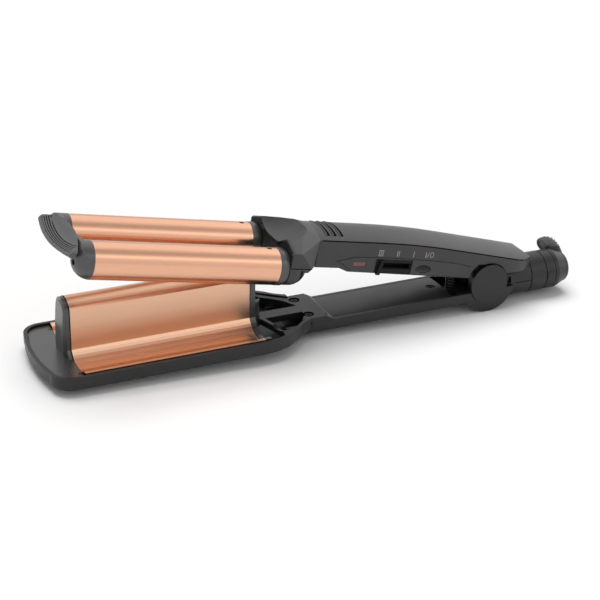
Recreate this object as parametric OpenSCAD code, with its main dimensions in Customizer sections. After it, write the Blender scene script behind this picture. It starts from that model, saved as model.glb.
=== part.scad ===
// Hair waver: two heated round barrels on a hinged upper arm close over a
// tall-ridged wave plate on the lower arm. The lower arm lies on its tray.
// Lower-arm pieces are drawn along X and then pitched so that the tray and
// the hinge ears rest together on z = 0; upper-arm pieces are drawn in their
// closed place and swung open about the hinge.

/* [Stance] */
// opening of the upper arm at rest (deg)
open_angle = 11.5; // [8:0.1:14]
// hinge axis, distance behind the middle of the tray (mm)
hinge_x = 224.4; // [200:0.2:250]
// hinge axis, height above the bottom of the tray (mm)
hinge_z = 13.8; // [12:0.1:18]

/* [Barrels] */
// outside diameter of each barrel (mm)
barrel_d = 22; // [18:0.5:32]
// spacing of the two barrels (mm)
barrel_gap = 42.2; // [38:0.2:50]
// visible length of each barrel (mm)
barrel_len = 113.2; // [90:1:140]
// rear end of the barrels, from the middle of the tray (mm)
barrel_rear = 70.3; // [60:0.1:80]
// height of the barrel axes when the arms are parallel (mm)
barrel_z = 22.4; // [20:0.2:26]
// wall of the barrel tube (mm)
barrel_wall = 1.2; // [0.8:0.1:2]
// diameter of the screw near the rear of each barrel (mm)
barrel_screw_d = 3.2; // [2:0.2:4]

/* [Wave plate] */
// length of the wave plate (mm)
plate_len = 110.3; // [90:1:130]
// rear end of the wave plate, from the middle of the tray (mm)
plate_rear = 65.3; // [60:0.1:72]
// half thickness of the centre ridge (mm)
ridge_w = 9.0; // [7:0.1:9.6]
// height of the centre of the ridge crown (mm)
crown_z = 34.5; // [30:0.5:38]
// radius of the ridge crown (mm)
crown_r = 11; // [9:0.5:14]
// hair gap between barrel and valley (mm)
hair_gap = 2.7; // [1.5:0.1:5]
// sheet thickness of the plate (mm)
plate_t = 1.2; // [0.8:0.1:1.6]
// gap between the wave plate's edge and the outside of the tray (mm)
plate_inset = 3.5; // [3:0.1:8]
// fillet of the outer roll (mm)
roll_r = 4; // [3:0.5:6]

/* [Tray] */
// half width of the tray (mm)
tray_half = 38.2; // [36:0.2:42]
// length of the tray ahead of the wave plate (mm)
tray_lip = 21; // [15:0.5:30]
// height of the tray rim (mm)
rim_z = 13.1; // [11:0.1:15]
// height of the lower edge of the tray wall (mm)
wall_z = 5.4; // [4:0.1:8]
// wall thickness of the lower shell (mm)
shell_t = 2.2; // [1.6:0.1:3]
// front bow radius of the tray (mm)
bow_r = 115; // [80:1:160]
// corner radius of the tray (mm)
tray_corner = 12; // [6:0.5:16]
// half width of the foot under the tray (mm)
foot_half = 17.5; // [12:0.5:24]

/* [Lever] */
// half width of the lower lever (mm)
lever_half = 17.2; // [15:0.1:20]
// underside of the lever (mm)
lever_z0 = 1.4; // [1:0.1:4]
// top edge of the lever side band (mm)
lever_z1 = 9.3; // [7:0.1:11]
// crown of the lever cover (mm)
lever_top = 10.2; // [9.8:0.1:12]
// arch radius of the lever cover (mm)
lever_r = 120; // [60:5:200]
// end of the flat deck (mm)
deck_end = 113.5; // [105:0.5:125]
// height of the flat deck (mm)
deck_z = 12.3; // [11:0.1:14]
// rear end of the lever cover (mm)
cover_end = 199; // [180:1:205]
// distance of the deck screws from the middle (mm)
deck_screw_y = 10.8; // [8:0.2:14]
// place of the deck screws (mm)
deck_screw_x = 102.8; // [98:0.2:110]

/* [Hinge] */
// radius of the round hinge cap (mm)
cap_r = 12.9; // [10:0.1:15]
// face of the hinge cap from the middle (mm)
cap_y = 18.0; // [16:0.1:20]
// radius of the hinge ear (mm)
ear_r = 19.0; // [15:0.1:20]
// thickness of each ear (mm)
ear_t = 3.4; // [2.5:0.1:5]
// diameter of the hinge pin (mm)
pin_d = 6; // [4:0.5:8]
// running clearance of the hinge pin (mm)
pin_play = 0.05; // [0.02:0.01:0.1]
// outside radius of the hinge lugs of the upper arm (mm)
lug_r = 9.5; // [8:0.5:11]
// width of each hinge lug (mm)
lug_w = 5; // [3:0.5:6]
// radius of the arch cut around the hinge (mm)
arch_r = 16; // [14:0.5:18]

/* [Return spring] */
// place of the spring (mm)
spring_x = 206; // [200:0.5:212]
// mean coil radius (mm)
coil_r = 2.6; // [2:0.1:4]
// wire diameter (mm)
wire_d = 0.9; // [0.6:0.1:1.4]
// length of the spring between its seats at rest (mm)
spring_len = 16.7; // [12:0.1:20]
// number of coils
coils = 8; // [5:1:11]

/* [Handle] */
// half width of the handle (mm)
body_half = 16.5; // [14:0.1:20]
// front of the handle body (mm)
body_x0 = 100; // [95:0.5:105]
// rear end of the handle (mm)
body_x1 = 260; // [250:0.5:270]
// height of the handle top at the front (mm)
body_top = 41.3; // [38:0.1:45]
// arch radius across the handle top (mm)
body_arch = 40; // [22:0.5:40]
// where the handle top starts to fall (mm)
fall_x = 142; // [130:1:150]
// fall of the handle top toward the hinge (deg)
fall_angle = 5.6; // [4:0.1:7]
// radius of that bend (mm)
fall_r = 520; // [300:10:900]
// underside at the front (mm)
belly_front = 20.7; // [19:0.1:22]
// underside of the control section (mm)
belly_low = 18.6; // [17:0.1:20]
// underside at the hinge (mm)
belly_rear = 16.9; // [16:0.1:18]
// wall of the handle (mm)
body_t = 2.2; // [1.6:0.1:3]

/* [Vents] */
// first vent slot (mm)
vent_x = 107; // [104:0.5:112]
// vent spacing (mm)
vent_step = 4.5; // [4:0.1:6]
// vent width (mm)
vent_w = 1.7; // [1:0.1:2]

/* [Controls] */
// middle of the slider at its hottest mark (mm)
slider_x = 143.4; // [140:0.2:148]
// slider travel (mm)
slider_travel = 20; // [12:0.5:22]
// slider height (mm)
slider_z = 22.6; // [20:0.1:25]
// width of the slider fin (mm)
fin_w = 2.2; // [1.6:0.1:4]
// height of the slider fin (mm)
fin_h = 8.4; // [6:0.1:10]
// middle of the power button (mm)
button_x = 174.2; // [170:0.2:178]
// height of the power button (mm)
button_z = 21.9; // [20:0.1:24]
// length of the power button (mm)
button_l = 10.4; // [8:0.2:13]
// height of the power button (mm)
button_h = 4.2; // [3:0.1:6]
// power button travel (mm)
button_travel = 0.7; // [0.4:0.1:1]
// left end of the lamp window (mm)
lamp_x = 124.9; // [122:0.2:128]
// lamp window length (mm)
lamp_l = 8.6; // [6:0.2:10]
// lamp window height (mm)
lamp_h = 2.9; // [2:0.1:4]
// lamp window middle height (mm)
lamp_z = 23.7; // [22:0.1:26]

/* [Cord swivel] */
// radius of neck and swivel (mm)
neck_r = 12.6; // [11:0.1:14]
// height of the neck axis (mm)
neck_z = 8.4; // [7:0.1:10]
// start of the fixed collar (mm)
collar_x0 = 259.4; // [255:0.2:262]
// start of the turning drum (mm)
drum_x0 = 270.6; // [266:0.2:274]
// end of the turning drum (mm)
drum_x1 = 289.8; // [288:0.2:296]
// radius of the drum sleeve inside the neck (mm)
sleeve_r = 8; // [6:0.1:9]
// running clearance of the sleeve (mm)
sleeve_play = 0.06; // [0.03:0.01:0.1]
// angle of the cord outlet above level, to the rear (deg)
outlet_tilt = 48; // [0:1:60]
// outside radius of the strain relief (mm)
relief_r = 4.5; // [4:0.1:6]
// bend radius of the strain relief (mm)
relief_bend = 4.8; // [4.7:0.1:9]
// bend of the strain relief (deg)
relief_turn = 112; // [60:1:130]
// bore for the cord (mm)
cord_d = 5.6; // [4:0.1:6]

/* [Hidden] */
$fn = 64;
// the tray and the hinge ears touch the table together
rest_pitch = asin(ear_r / sqrt(hinge_x * hinge_x + hinge_z * hinge_z)) - atan(hinge_z / hinge_x);
e = 0.01;
br = barrel_d / 2;
by = barrel_gap / 2;
plate_half = tray_half - plate_inset;
bx1 = barrel_rear;
barrel_x = bx1 - barrel_len;
vr = br + hair_gap;
px1 = plate_rear;
plate_x = px1 - plate_len;
tray_front = plate_x - tray_lip;
ear_y = cap_y - 1.0;
ear_y0 = ear_y - ear_t;
hx = hinge_x;
hz = hinge_z;
slope = tan(fall_angle);
cap_foot = 6.6;
bend_x = fall_x + fall_r * sin(fall_angle);
bend_z = body_top - fall_r * (1 - cos(fall_angle));
part_drop = 3.75;
cup_x = spring_x - 0.8;

function arc(cx, cy, r, a0, a1, n) = [for (i = [0:n]) let (a = a0 + (a1 - a0) * i / n) [cx + r * cos(a), cy + r * sin(a)]];
function flip(p) = [for (i = [len(p) - 1:-1:0]) [-p[i][0], p[i][1]]];
function top_at(x) = x < fall_x ? body_top : x > bend_x ? bend_z - (x - bend_x) * slope
    : body_top - (fall_r - sqrt(fall_r * fall_r - (x - fall_x) * (x - fall_x)));

// place pieces of the lower arm
module lower() { rotate([0, -rest_pitch, 0]) children(); }
// place pieces of the upper arm, drawn closed
module upper() { lower() translate([hx, 0, hz]) rotate([0, open_angle, 0]) translate([-hx, 0, -hz]) children(); }
// side outline (x, z) between y0 and y1
module xz(y0, y1) { translate([0, y1, 0]) rotate([90, 0, 0]) linear_extrude(y1 - y0) children(); }
// cross outline (y, z) between x0 and x1
module yz(x0, x1) { translate([x0, 0, 0]) rotate([90, 0, 90]) linear_extrude(x1 - x0) children(); }
// box from corner to corner
module bx(a, b) { translate(a) cube([b[0] - a[0], b[1] - a[1], b[2] - a[2]]); }
// round bar along x, y or z
module cx(x0, x1, y, z, r) { translate([x0, y, z]) rotate([0, 90, 0]) cylinder(h = x1 - x0, r = r); }
module cy(x, y0, y1, z, r) { translate([x, y1, z]) rotate([90, 0, 0]) cylinder(h = y1 - y0, r = r); }
module cz(x, y, z0, z1, r) { translate([x, y, z0]) cylinder(h = z1 - z0, r = r); }
module both() { children(); mirror([0, 1, 0]) children(); }
// recessed-head screw along z, head top at z, cross recess cut in
module screw(x, y, z, head, len) {
    difference() {
        union() {
            cz(x, y, z - head * 0.45, z, head);
            cz(x, y, z - len, z - head * 0.45 + e, head * 0.5);
        }
        bx([x - head * 0.62, y - 0.3, z - 0.7], [x + head * 0.62, y + 0.3, z + 1]);
        bx([x - 0.3, y - head * 0.62, z - 0.7], [x + 0.3, y + head * 0.62, z + 1]);
    }
}

// ---- lower arm -------------------------------------------------------
// plan of the tray, shrunk by d all round
function tray_plan(d) = let (
    h = tray_half - d, c = max(tray_corner - d, 1), f = tray_front + d,
    xs = f + bow_r - d - sqrt(pow(bow_r - d, 2) - pow(h - c, 2)),
    front = [for (i = [-8:8]) let (y = (h - c) * i / 8) [f + bow_r - d - sqrt(pow(bow_r - d, 2) - y * y), y]],
    side = concat([for (i = [1:8]) let (a = 180 - 90 * i / 8) [xs + c + c * cos(a), h - c + c * sin(a)]],
        [[68, h], [74, h - 1.2], [80, h - 3.4], [85, h - 6.4], [89.5, h - 10.4], [94, h - 15.2], [98.5, h - 18.4],
         [103, max(lever_half, h - 20.2)], [106, lever_half - d]]))
    concat(front, side, [for (i = [len(side) - 1:-1:0]) [side[i][0], -side[i][1]]]);

// convex plan used for the tapered underside
function under_plan(d) = let (h = tray_half - d, c = max(tray_corner - d, 1), f = tray_front + d,
    xs = f + bow_r - d - sqrt(pow(bow_r - d, 2) - pow(h - c, 2)),
    front = [for (i = [-8:8]) let (y = (h - c) * i / 8) [f + bow_r - d - sqrt(pow(bow_r - d, 2) - y * y), y]],
    side = concat([for (i = [1:8]) let (a = 180 - 90 * i / 8) [xs + c + c * cos(a), h - c + c * sin(a)]],
        [[66, h], [74 - d * 0.3, h - 1.2], [81 - d * 0.6, h - 3.8], [86 - d * 0.8, h - 7.6], [95 - d, h - 16], [104 - d, h - 22]]))
    concat(front, side, [for (i = [len(side) - 1:-1:0]) [side[i][0], -side[i][1]]]);
module tray_under(d) hull() {
    translate([0, 0, wall_z + 1.4 + d * 0.6]) linear_extrude(60) polygon(under_plan(d - 0.02));
    translate([0, 0, wall_z + d * 0.6]) linear_extrude(0.1) polygon(under_plan(d + 0.7));
    translate([0, 0, -3 + d]) linear_extrude(0.1) polygon([[tray_front + 27, 12 - foot_half], [tray_front + 31, -foot_half], [64, -foot_half], [72, 8 - foot_half], [72, foot_half - 8], [64, foot_half], [tray_front + 31, foot_half], [tray_front + 27, foot_half - 12]]);
}
module tray_body(d, z1) { intersection() { translate([0, 0, -5]) linear_extrude(z1 + 5) polygon(tray_plan(d)); tray_under(d); } }
module lever_section(d, z1) {
    r = 3;
    polygon(concat(arc(-lever_half + d + r, lever_z0 + d + r, r, 180, 270, 5), arc(lever_half - d - r, lever_z0 + d + r, r, 270, 360, 5), [[lever_half - d, z1], [-lever_half + d, z1]]));
}
module ear() {
    // lower half round, upper part kept under the cap
    intersection() { cy(hx, -ear_y, -ear_y0, hz, ear_r); bx([hx - 22, -30, -10], [hx + 22, 0, lever_z1]); }
    cy(hx, -ear_y, -ear_y0, hz, cap_r - 0.8);
    bx([203, -ear_y, 4], [hx, -ear_y0, lever_z1]);
}
module lower_shell() color("#2d2d2f") intersection() {
    lower() difference() {
        union() {
            difference() {
                tray_body(0, rim_z);
                intersection() { tray_body(shell_t, rim_z + 5); rotate([0, rest_pitch, 0]) translate([-200, -200, shell_t]) cube([500, 400, 100]); }
                bx([100.4, -40, lever_z1], [140, 40, 40]);
                yz(90, 120) lever_section(shell_t, lever_z1 + 5);
            }
            // lever channel
            difference() {
                yz(86, hx - 4) lever_section(0, lever_z1);
                yz(80, 211) lever_section(shell_t, lever_z1 + 5);
                bx([80, -20, 8.1], [100.4, 20, 20]);
                yz(210.9, hx) polygon([[-12.9, 4.6], [12.9, 4.6], [12.9, 20], [-12.9, 20]]);
            }
            both() ear();
            // cradle under the hinge and lower half of the neck
            difference() {
                union() {
                    intersection() { cx(206, 240, 0, neck_z, neck_r); bx([206, -20, -10], [238, 20, 2.2]); }
                    intersection() { cx(234, drum_x0 - 0.3, 0, neck_z, neck_r); bx([230, -20, -10], [collar_x0 - 0.05, 20, neck_z - 0.05]); }
                    intersection() { cx(collar_x0 - 0.1, drum_x0 - 3, 0, neck_z, neck_r - 2); bx([230, -20, -10], [300, 20, neck_z - 0.05]); }
                }
                cx(237, collar_x0 - 4, 0, neck_z, neck_r - 2.4);
                cx(collar_x0 - 5, drum_x0, 0, neck_z, sleeve_r + sleeve_play);
                // groove for the sleeve flange
                cx(drum_x0 - 7.6, drum_x0 - 5.4, 0, neck_z, sleeve_r + 1.4);
            }
            // bosses for deck and lever screws
            both() cz(deck_screw_x, deck_screw_y, 1.2, 8.4, 3.2);
            cz(192, 0, 3, 7.4, 3.2);
        }
        both() cz(deck_screw_x, deck_screw_y, 3, 20, 1.38);
        cz(192, 0, 3.6, 20, 1.28);
        // pin bores and cap recesses
        cy(hx, -30, 30, hz, pin_d / 2 + 0.02);
        both() cy(hx, -30, -ear_y + 1.2, hz, cap_r - 3);
        both() cy(hx, -30, -ear_y, hz, cap_r + 0.3);
        // room for the lugs of the upper arm
        cy(hx, -12.9, 12.9, hz, lug_r + 1.4);
        // seat of the spring post
        cz(spring_x, 0, 2, 20, coil_r + 1.5);
    }
    translate([-200, -200, 0]) cube([700, 400, 200]);
}

// cover: well webs, flat deck with screw seats, arched lever top
module lower_cover() color("#3b3b3d") lower() difference() {
    union() {
        difference() {
            // deck plate following the tray inside
            union() {
                translate([0, 0, 8.4]) linear_extrude(deck_z - 8.4) intersection() { polygon(tray_plan(shell_t + 0.3)); polygon(under_plan(shell_t + 0.35)); translate([72.6, -60]) square([60, 120]); }
                bx([92, -lever_half + shell_t + 0.3, 7.7], [deck_end, lever_half - shell_t - 0.3, deck_z]);
            }
            // pockets either side of the centre web
            translate([0, 0, 5.6]) linear_extrude(20) polygon([[70, 3.1], [101, 2.8], [95.6, 12.7], [89.5, 18.6], [83.7, 23.1], [80, 40], [70, 40]]);
            translate([0, 0, 5.6]) linear_extrude(20) polygon([[76.2, -6.2], [101, -6.2], [99.6, -11.5], [95.6, -17.6], [90.5, -22.3], [85.2, -25.2], [81, -25.9]]);
            translate([0, 0, 5.6]) linear_extrude(20) polygon([[60, -6.2], [73.6, -6.2], [79.4, -25.9], [77, -40], [60, -40]]);
        }
        // raised deck shoulder
        intersection() {
            bx([100.5, -lever_half, lever_z1 + 0.1], [deck_end + 3.5, lever_half, deck_z]);
            xz(-40, 40) polygon([[95, 0], [95, deck_z], [deck_end - 1.5, deck_z], [deck_end + 3.5, lever_z1 + 0.3], [deck_end + 3.5, 0]]);
        }
        bx([100.5, -lever_half + shell_t + 0.3, 7.7], [deck_end, lever_half - shell_t - 0.3, deck_z]);
        // arched lever top
        intersection() {
            cx(deck_end - 1, cover_end, 0, lever_top - lever_r, lever_r);
            bx([100, -lever_half + shell_t + 0.3, 7.7], [cover_end, lever_half - shell_t - 0.3, 40]);
        }
    }
    // hollow under the arch
    intersection() {
        cx(deck_end + 4, 186, 0, lever_top - lever_r, lever_r - 1.6);
        bx([deck_end + 4, -12.4, 0], [cover_end + 5, 12.4, 40]);
    }
    // screw seats
    // room for the boss of the rear plate cap, and for the shroud when the arms are closed
    cz(px1 + 2.4, 0, 0, 40, 7.1);
    both() { cx(60, 79.4, by, barrel_z, br + 0.3); translate([79.4, by, barrel_z]) sphere(r = br + 0.3, $fn = 64); }
    both() { cz(deck_screw_x, deck_screw_y, 10.4, 20, 3.1); cz(deck_screw_x, deck_screw_y, 0, 20, 1.7); cz(deck_screw_x, deck_screw_y, 0, 8.6, 3.5); }
    cz(192, 0, lever_top - 1.65, 20, 2.9);
    cz(192, 0, 0, 20, 1.7);
}

// one half of the plate outline, outer face
function half_face(o) = let (
    a0 = acos((ridge_w - o) / (crown_r - o)), rv = vr + o, av = 180 + acos((by - ridge_w + o) / rv), at = 312,
    rr = roll_r - o, ex = by + vr * cos(at), ez = barrel_z + vr * sin(at),
    rc = [ex + roll_r * sin(at - 270), ez - roll_r * cos(at - 270)])
    concat([for (i = [0:7]) let (a = 90 - (90 - a0) * i / 7) [(crown_r - o) * cos(a), crown_z + (crown_r - o) * sin(a)]],
        [for (i = [0:14]) let (a = av + (at - av) * i / 14) [by + rv * cos(a), barrel_z + rv * sin(a)]],
        [for (i = [1:5]) let (a = (at - 270 + 90) + (100 - (at - 270 + 90)) * i / 5) [rc[0] + rr * cos(a), rc[1] + rr * sin(a)]],
        [[plate_half, rc[1] + roll_r - 0.06 + 0.35 - o]]);
nose_x = plate_x - 3.3;
function rev(p) = [for (i = [len(p) - 1:-1:0]) p[i]];
module plate_sheet(o) polygon(concat(flip(half_face(0)), half_face(0), rev(half_face(plate_t)), rev(flip(half_face(plate_t)))));
module wave_plate() color("#c98c62") lower() yz(plate_x, px1) plate_sheet(0);

module ridge_solid(x0, x1, o) {
    yz(x0, x1) polygon(concat([[-ridge_w + o, 14]], flip([for (i = [0:7]) let (a = 90 - (90 - acos((ridge_w - o) / (crown_r - o))) * i / 7) [(crown_r - o) * cos(a), crown_z + (crown_r - o) * sin(a)]]),
        [for (i = [0:7]) let (a = 90 - (90 - acos((ridge_w - o) / (crown_r - o))) * i / 7) [(crown_r - o) * cos(a), crown_z + (crown_r - o) * sin(a)]], [[ridge_w - o, 14]]));
}
// solid under the plate outline, trimmed o inside it
module under_plate(x0, x1, o, z0) {
    yz(x0, x1) polygon(concat([[-plate_half + 1, z0]], flip(half_face(o)), half_face(o), [[plate_half - 1, z0]]));
}
module plate_front_cap() color("#3a3a3c") lower() difference() {
    union() {
        // ridge cap, chamfered to a narrow nose
        hull() {
            ridge_solid(plate_x - 0.35, plate_x - 0.05, 0.1);
            for (m = [-1, 1]) for (p = [[nose_x - 0.3, 7.3, 34.5], [nose_x - 0.75, 7.35, 28], [nose_x - 0.9, 7.4, 20], [nose_x, 7.2, 39.0], [nose_x + 0.1, 6.5, 40.7], [nose_x + 0.2, 4.7, 42.2], [nose_x + 0.3, 2.5, 43.1], [nose_x + 0.35, 0.01, 43.4], [nose_x - 1.0, 7.4, 9.6], [plate_x - 0.4, 9.2, 9.6]])
                translate([p[0], m * p[1], p[2]]) cube(0.02, center = true);
        }
        // apron over the front of the tray
        intersection() {
            translate([0, 0, 9.6]) linear_extrude(1.9) polygon(tray_plan(shell_t + 0.3));
            bx([-90, -50, 0], [plate_x - 0.1, 50, 40]);
        }
        // plug inside the plate end
        under_plate(plate_x - 0.1, plate_x + 4, plate_t + 0.1, cap_foot);
        // skirt closing the valleys at the front
        intersection() { under_plate(plate_x - 2.4, plate_x - 0.05, 0.15, cap_foot); bx([-80, -30.5, 0], [0, 30.5, 60]); }
    }
    cx(plate_x - 1, plate_x + 6, 0, 26, 4);
}
module plate_rear_cap() color("#2f2f31") lower() difference() {
    union() {
        under_plate(px1 + 0.05, px1 + 3.3, -0.15, cap_foot);
        under_plate(px1 - 4, px1 + 0.1, plate_t + 0.1, cap_foot);
        // boss that passes the heater leads
        intersection() { cz(px1 + 2.4, 0, 6.6, 24, 6.8); bx([px1 + 3, -10, 0], [px1 + 12, 10, 40]); }
        bx([px1 + 0.1, -30, 5], [px1 + 3.2, 30, 8]);
    }
    cx(px1 - 6, px1 + 9, 0, 22, 3);
}
module plate_heater() color("#d8d4cc") lower() bx([plate_x + 8, -5.9, 14], [px1 - 8, 5.9, 36]);
module heater_clip() color("#a9adb2") lower() difference() {
    bx([plate_x + 14, -ridge_w + plate_t + 0.05, 12.4], [px1 - 14, ridge_w - plate_t - 0.05, 34]);
    bx([plate_x + 13, -5.95, 11], [px1 - 13, 5.95, 37]);
    for (i = [0:4]) bx([plate_x + 22 + i * 16, -10, 17], [plate_x + 29 + i * 16, 10, 30]);
}
module deck_screws() color("#8c8f94") lower() both() screw(deck_screw_x, deck_screw_y, 12.0, 2.7, 8.2);
module lever_screws() color("#8c8f94") lower() screw(192, 0, lever_top - 0.5, 2.5, 5.5);

module neck_cover() color("#333335") lower() difference() {
    union() {
        intersection() { cx(234.6, collar_x0 - 0.05, 0, neck_z, neck_r); bx([230, -20, neck_z + 0.05], [300, 20, 40]); }
        intersection() { cx(collar_x0 - 0.1, drum_x0 - 3, 0, neck_z, neck_r - 2); bx([230, -20, neck_z + 0.05], [300, 20, 40]); }
    }
    cx(233, collar_x0 - 4, 0, neck_z, neck_r - 2.4);
    cx(collar_x0 - 5, drum_x0, 0, neck_z, sleeve_r + sleeve_play);
    cx(drum_x0 - 7.6, drum_x0 - 5.4, 0, neck_z, sleeve_r + 1.4);
    cy(hx, -12.9, 12.9, hz, lug_r + 1.4);
    // notches beside the neck root
    both() bx([240.4, -14, neck_z + 0.8], [243.6, -neck_r + 2.2, neck_z + 4.8]);
}
module neck_collar() color("#363638") lower() difference() {
    cx(collar_x0 + 0.05, drum_x0 - 0.35, 0, neck_z, neck_r + 0.1);
    cx(collar_x0 - 1, drum_x0 - 2.95, 0, neck_z, neck_r - 1.98);
    cx(drum_x0 - 4, drum_x0 + 1, 0, neck_z, sleeve_r + 0.4);
}
module hinge_pin() color("#9b9ea3") lower() cy(hx, -ear_y + 1.3, ear_y - 1.3, hz, pin_d / 2);
module hinge_cap(s) {
    mirror([0, s, 0]) difference() {
        union() {
            cy(hx, -cap_y, -cap_y + 0.95, hz, cap_r);
            cy(hx, -cap_y + 0.9, -ear_y + 1.1, hz, cap_r - 3.05);
        }
    }
}
module hinge_cap_near() color("#3d3d3f") lower() hinge_cap(0);
module hinge_cap_far() color("#3d3d3f") lower() hinge_cap(1);

module spring_post() color("#2a2a2c") lower() {
    cz(spring_x, 0, 2.05, 6.0, coil_r + 1.4);
    cz(spring_x, 0, 5.9, 10.5, coil_r - wire_d / 2 - 0.35);
}
// open coil standing between the post and the cup of the upper arm
module return_spring() color("#b9bcc0") lower() translate([spring_x, 0, 6.1 + wire_d / 2]) {
    pitch = (spring_len - wire_d) / coils;
    for (i = [0:coils]) translate([0, 0, i * pitch]) rotate_extrude($fn = 40) translate([coil_r, 0]) circle(d = wire_d, $fn = 16);
    for (i = [0:coils - 1]) rotate([0, 0, i * 70]) translate([coil_r, 0, i * pitch]) cylinder(h = pitch, d = wire_d * 0.9, $fn = 16);
}

// ---- upper arm -------------------------------------------------------
// arched top swept along the handle, d inside the outer face
module arch_top(d) {
    w = body_half - d + 3;
    pts = concat([[-w, -60]], [for (i = [-8:8]) let (y = w * i / 8) [y, -body_arch + sqrt(pow(body_arch, 2) - y * y) - d]], [[w, -60]]);
    yz(60, fall_x + e) translate([0, body_top]) polygon(pts);
    translate([fall_x, 0, body_top - fall_r]) rotate([90, 0, 0]) rotate([0, 0, 90 - fall_angle])
        rotate_extrude(angle = fall_angle, $fn = 720) translate([fall_r, 0]) rotate(-90) polygon([for (p = pts) [p[0], max(p[1], -45)]]);
    translate([bend_x, 0, bend_z]) rotate([0, fall_angle, 0]) yz(-e, 90) polygon(pts);
}
// plan of the handle, rounded rear end
function body_plan(d) = let (w = body_half - d, x1 = body_x1 - d, l = 21 - d)
    concat([[60, -w]], [for (i = [0:10]) let (a = -90 + 90 * i / 10) [x1 - l + l * cos(a), w * sin(a)]],
        [for (i = [1:10]) let (a = 90 * i / 10) [x1 - l + l * cos(a), w * sin(a)]], [[60, w]]);
rear_low = 23.2;
module side_profile(d) polygon([[60, 80], [60, belly_front + d], [116, belly_front + d], [122, belly_low + d], [208, belly_rear + d], [hx, belly_rear + d], [hx + 8, 20.4 + d], [238, 21.4 + d], [258, rear_low + d], [275, rear_low + d + 1], [275, 80]]);
module part_line(up) polygon(concat([for (x = [90, 110, 130, fall_x, 155, 170, 185, bend_x, 215, 235, 280]) [x, top_at(x) - part_drop ]], up > 0 ? [[280, 90], [90, 90]] : [[280, -20], [90, -20]]));
module body(d) intersection() {
    arch_top(d);
    linear_extrude(80) polygon(body_plan(d));
    xz(-40, 40) side_profile(d);
    // rounded rear of the crown
    xz(-40, 40) polygon(concat([[60, 80], [60, 0], [body_x1 + 2 - d, 0]], arc(body_x1 - 15, top_at(body_x1 - 13) - 20, 20 - d, 0, 84, 10), [[200, 80]]));
}
module handle_shell() color("#3a3a3c") upper() difference() {
    union() {
        difference() {
            intersection() { body(0); xz(-40, 40) part_line(-1); bx([body_x0, -40, 0], [400, 40, 90]); }
            // cavity
            intersection() {
                xz(-body_half + body_t, body_half - body_t) polygon([[body_x0 - 5, belly_front + body_t], [116, belly_front + body_t], [122, belly_low + body_t], [200, belly_rear + body_t + 0.2], [212, belly_rear + body_t], [212, 12], [272, 12], [272, 60], [body_x0 - 5, 60]]);
                linear_extrude(80) polygon(body_plan(body_t));
            }
        }
        // hinge lugs hung from the roof of the shell
        both() {
            cy(hx, -12.6, -12.6 + lug_w, hz, lug_r);
            intersection() {
                bx([hx - 7, -14.5, hz], [hx + 7, -12.6 + lug_w, 60]);
                xz(-40, 40) part_line(-1);
                bx([0, -12.6, 0], [400, 40, 29.5]);
            }
            intersection() { bx([hx - 7, -body_half + 1, 24], [hx + 7, -12.5, 29.5]); body(0.5); }
        }
        // spring cup under the belly
        cz(cup_x, 0, 17.4, 22.4, coil_r + 2.8);
    }
    // arch around the hinge caps and ears
    both() {
        cy(hx, -30, -12.75, hz, cap_r + 0.6);
        difference() { cy(hx, -30, -12.75, hz, arch_r); bx([hx + 2, -40, 0], [hx + 40, 40, 60]); bx([hx - 40, -40, hz + 12.4], [hx + 40, 40, 60]); }
        // room over the rear of the ear
        bx([hx, -30, 0], [hx + arch_r - 1, -12.75, 20.8]);
    }
    // room for the neck
    cx(hx + 9.8, 300, 0, neck_z + 2.6, neck_r + 0.5);
    translate([hx, 0, hz]) rotate([0, -open_angle, 0]) translate([-hx, 0, -hz]) cx(hx + 9.8, 300, 0, neck_z, neck_r + 0.5);
    cy(hx, -30, 30, hz, pin_d / 2 + pin_play);
    cz(cup_x, 0, 10, 20.2, coil_r + 1.5);
    // opening for the control panel, lamp, slider and button
    xz(-body_half - 1, -body_half + 1.3) panel_shape(0.1);
    bx([lamp_x, -20, lamp_z - lamp_h / 2], [lamp_x + lamp_l, -10, lamp_z + lamp_h / 2]);
    bx([slider_x - 1.8, -20, slider_z - 1.4], [slider_x + slider_travel + 1.8, -10, slider_z + 2.6]);
    bx([button_x - button_l / 2 - 0.4, -20, button_z - button_h / 2 - 0.4], [button_x + button_l / 2 + 0.4, -10, button_z + button_h / 2 + 0.4]);
}
module vent(x, w) {
    xz(-12.4, 12.8) polygon([[x - w / 2, body_top - 8], [x - w / 2, body_top + 3], [x + w / 2, body_top + 3], [x + w / 2, body_top - 8]]);
}
module handle_lid() difference() {
    union() {
        intersection() { body(0); xz(-40, 40) translate([0, 0.05]) part_line(1); bx([body_x0 - 0.3, -40, 0], [400, 40, 90]); }
        // raised rims of the vents
        intersection() {
            for (i = [0:2]) vent(vent_x + i * vent_step - 1.2, 0.7);
            translate([0, 0, 0.45]) arch_top(0);
            bx([100, -12.2, body_top - 4], [130, 12.6, 60]);
        }
    }
    for (i = [0:2]) vent(vent_x + i * vent_step, vent_w);
}
module top_shell() color("#4b4b4e") upper() { handle_lid(); shroud_top(); }

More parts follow.
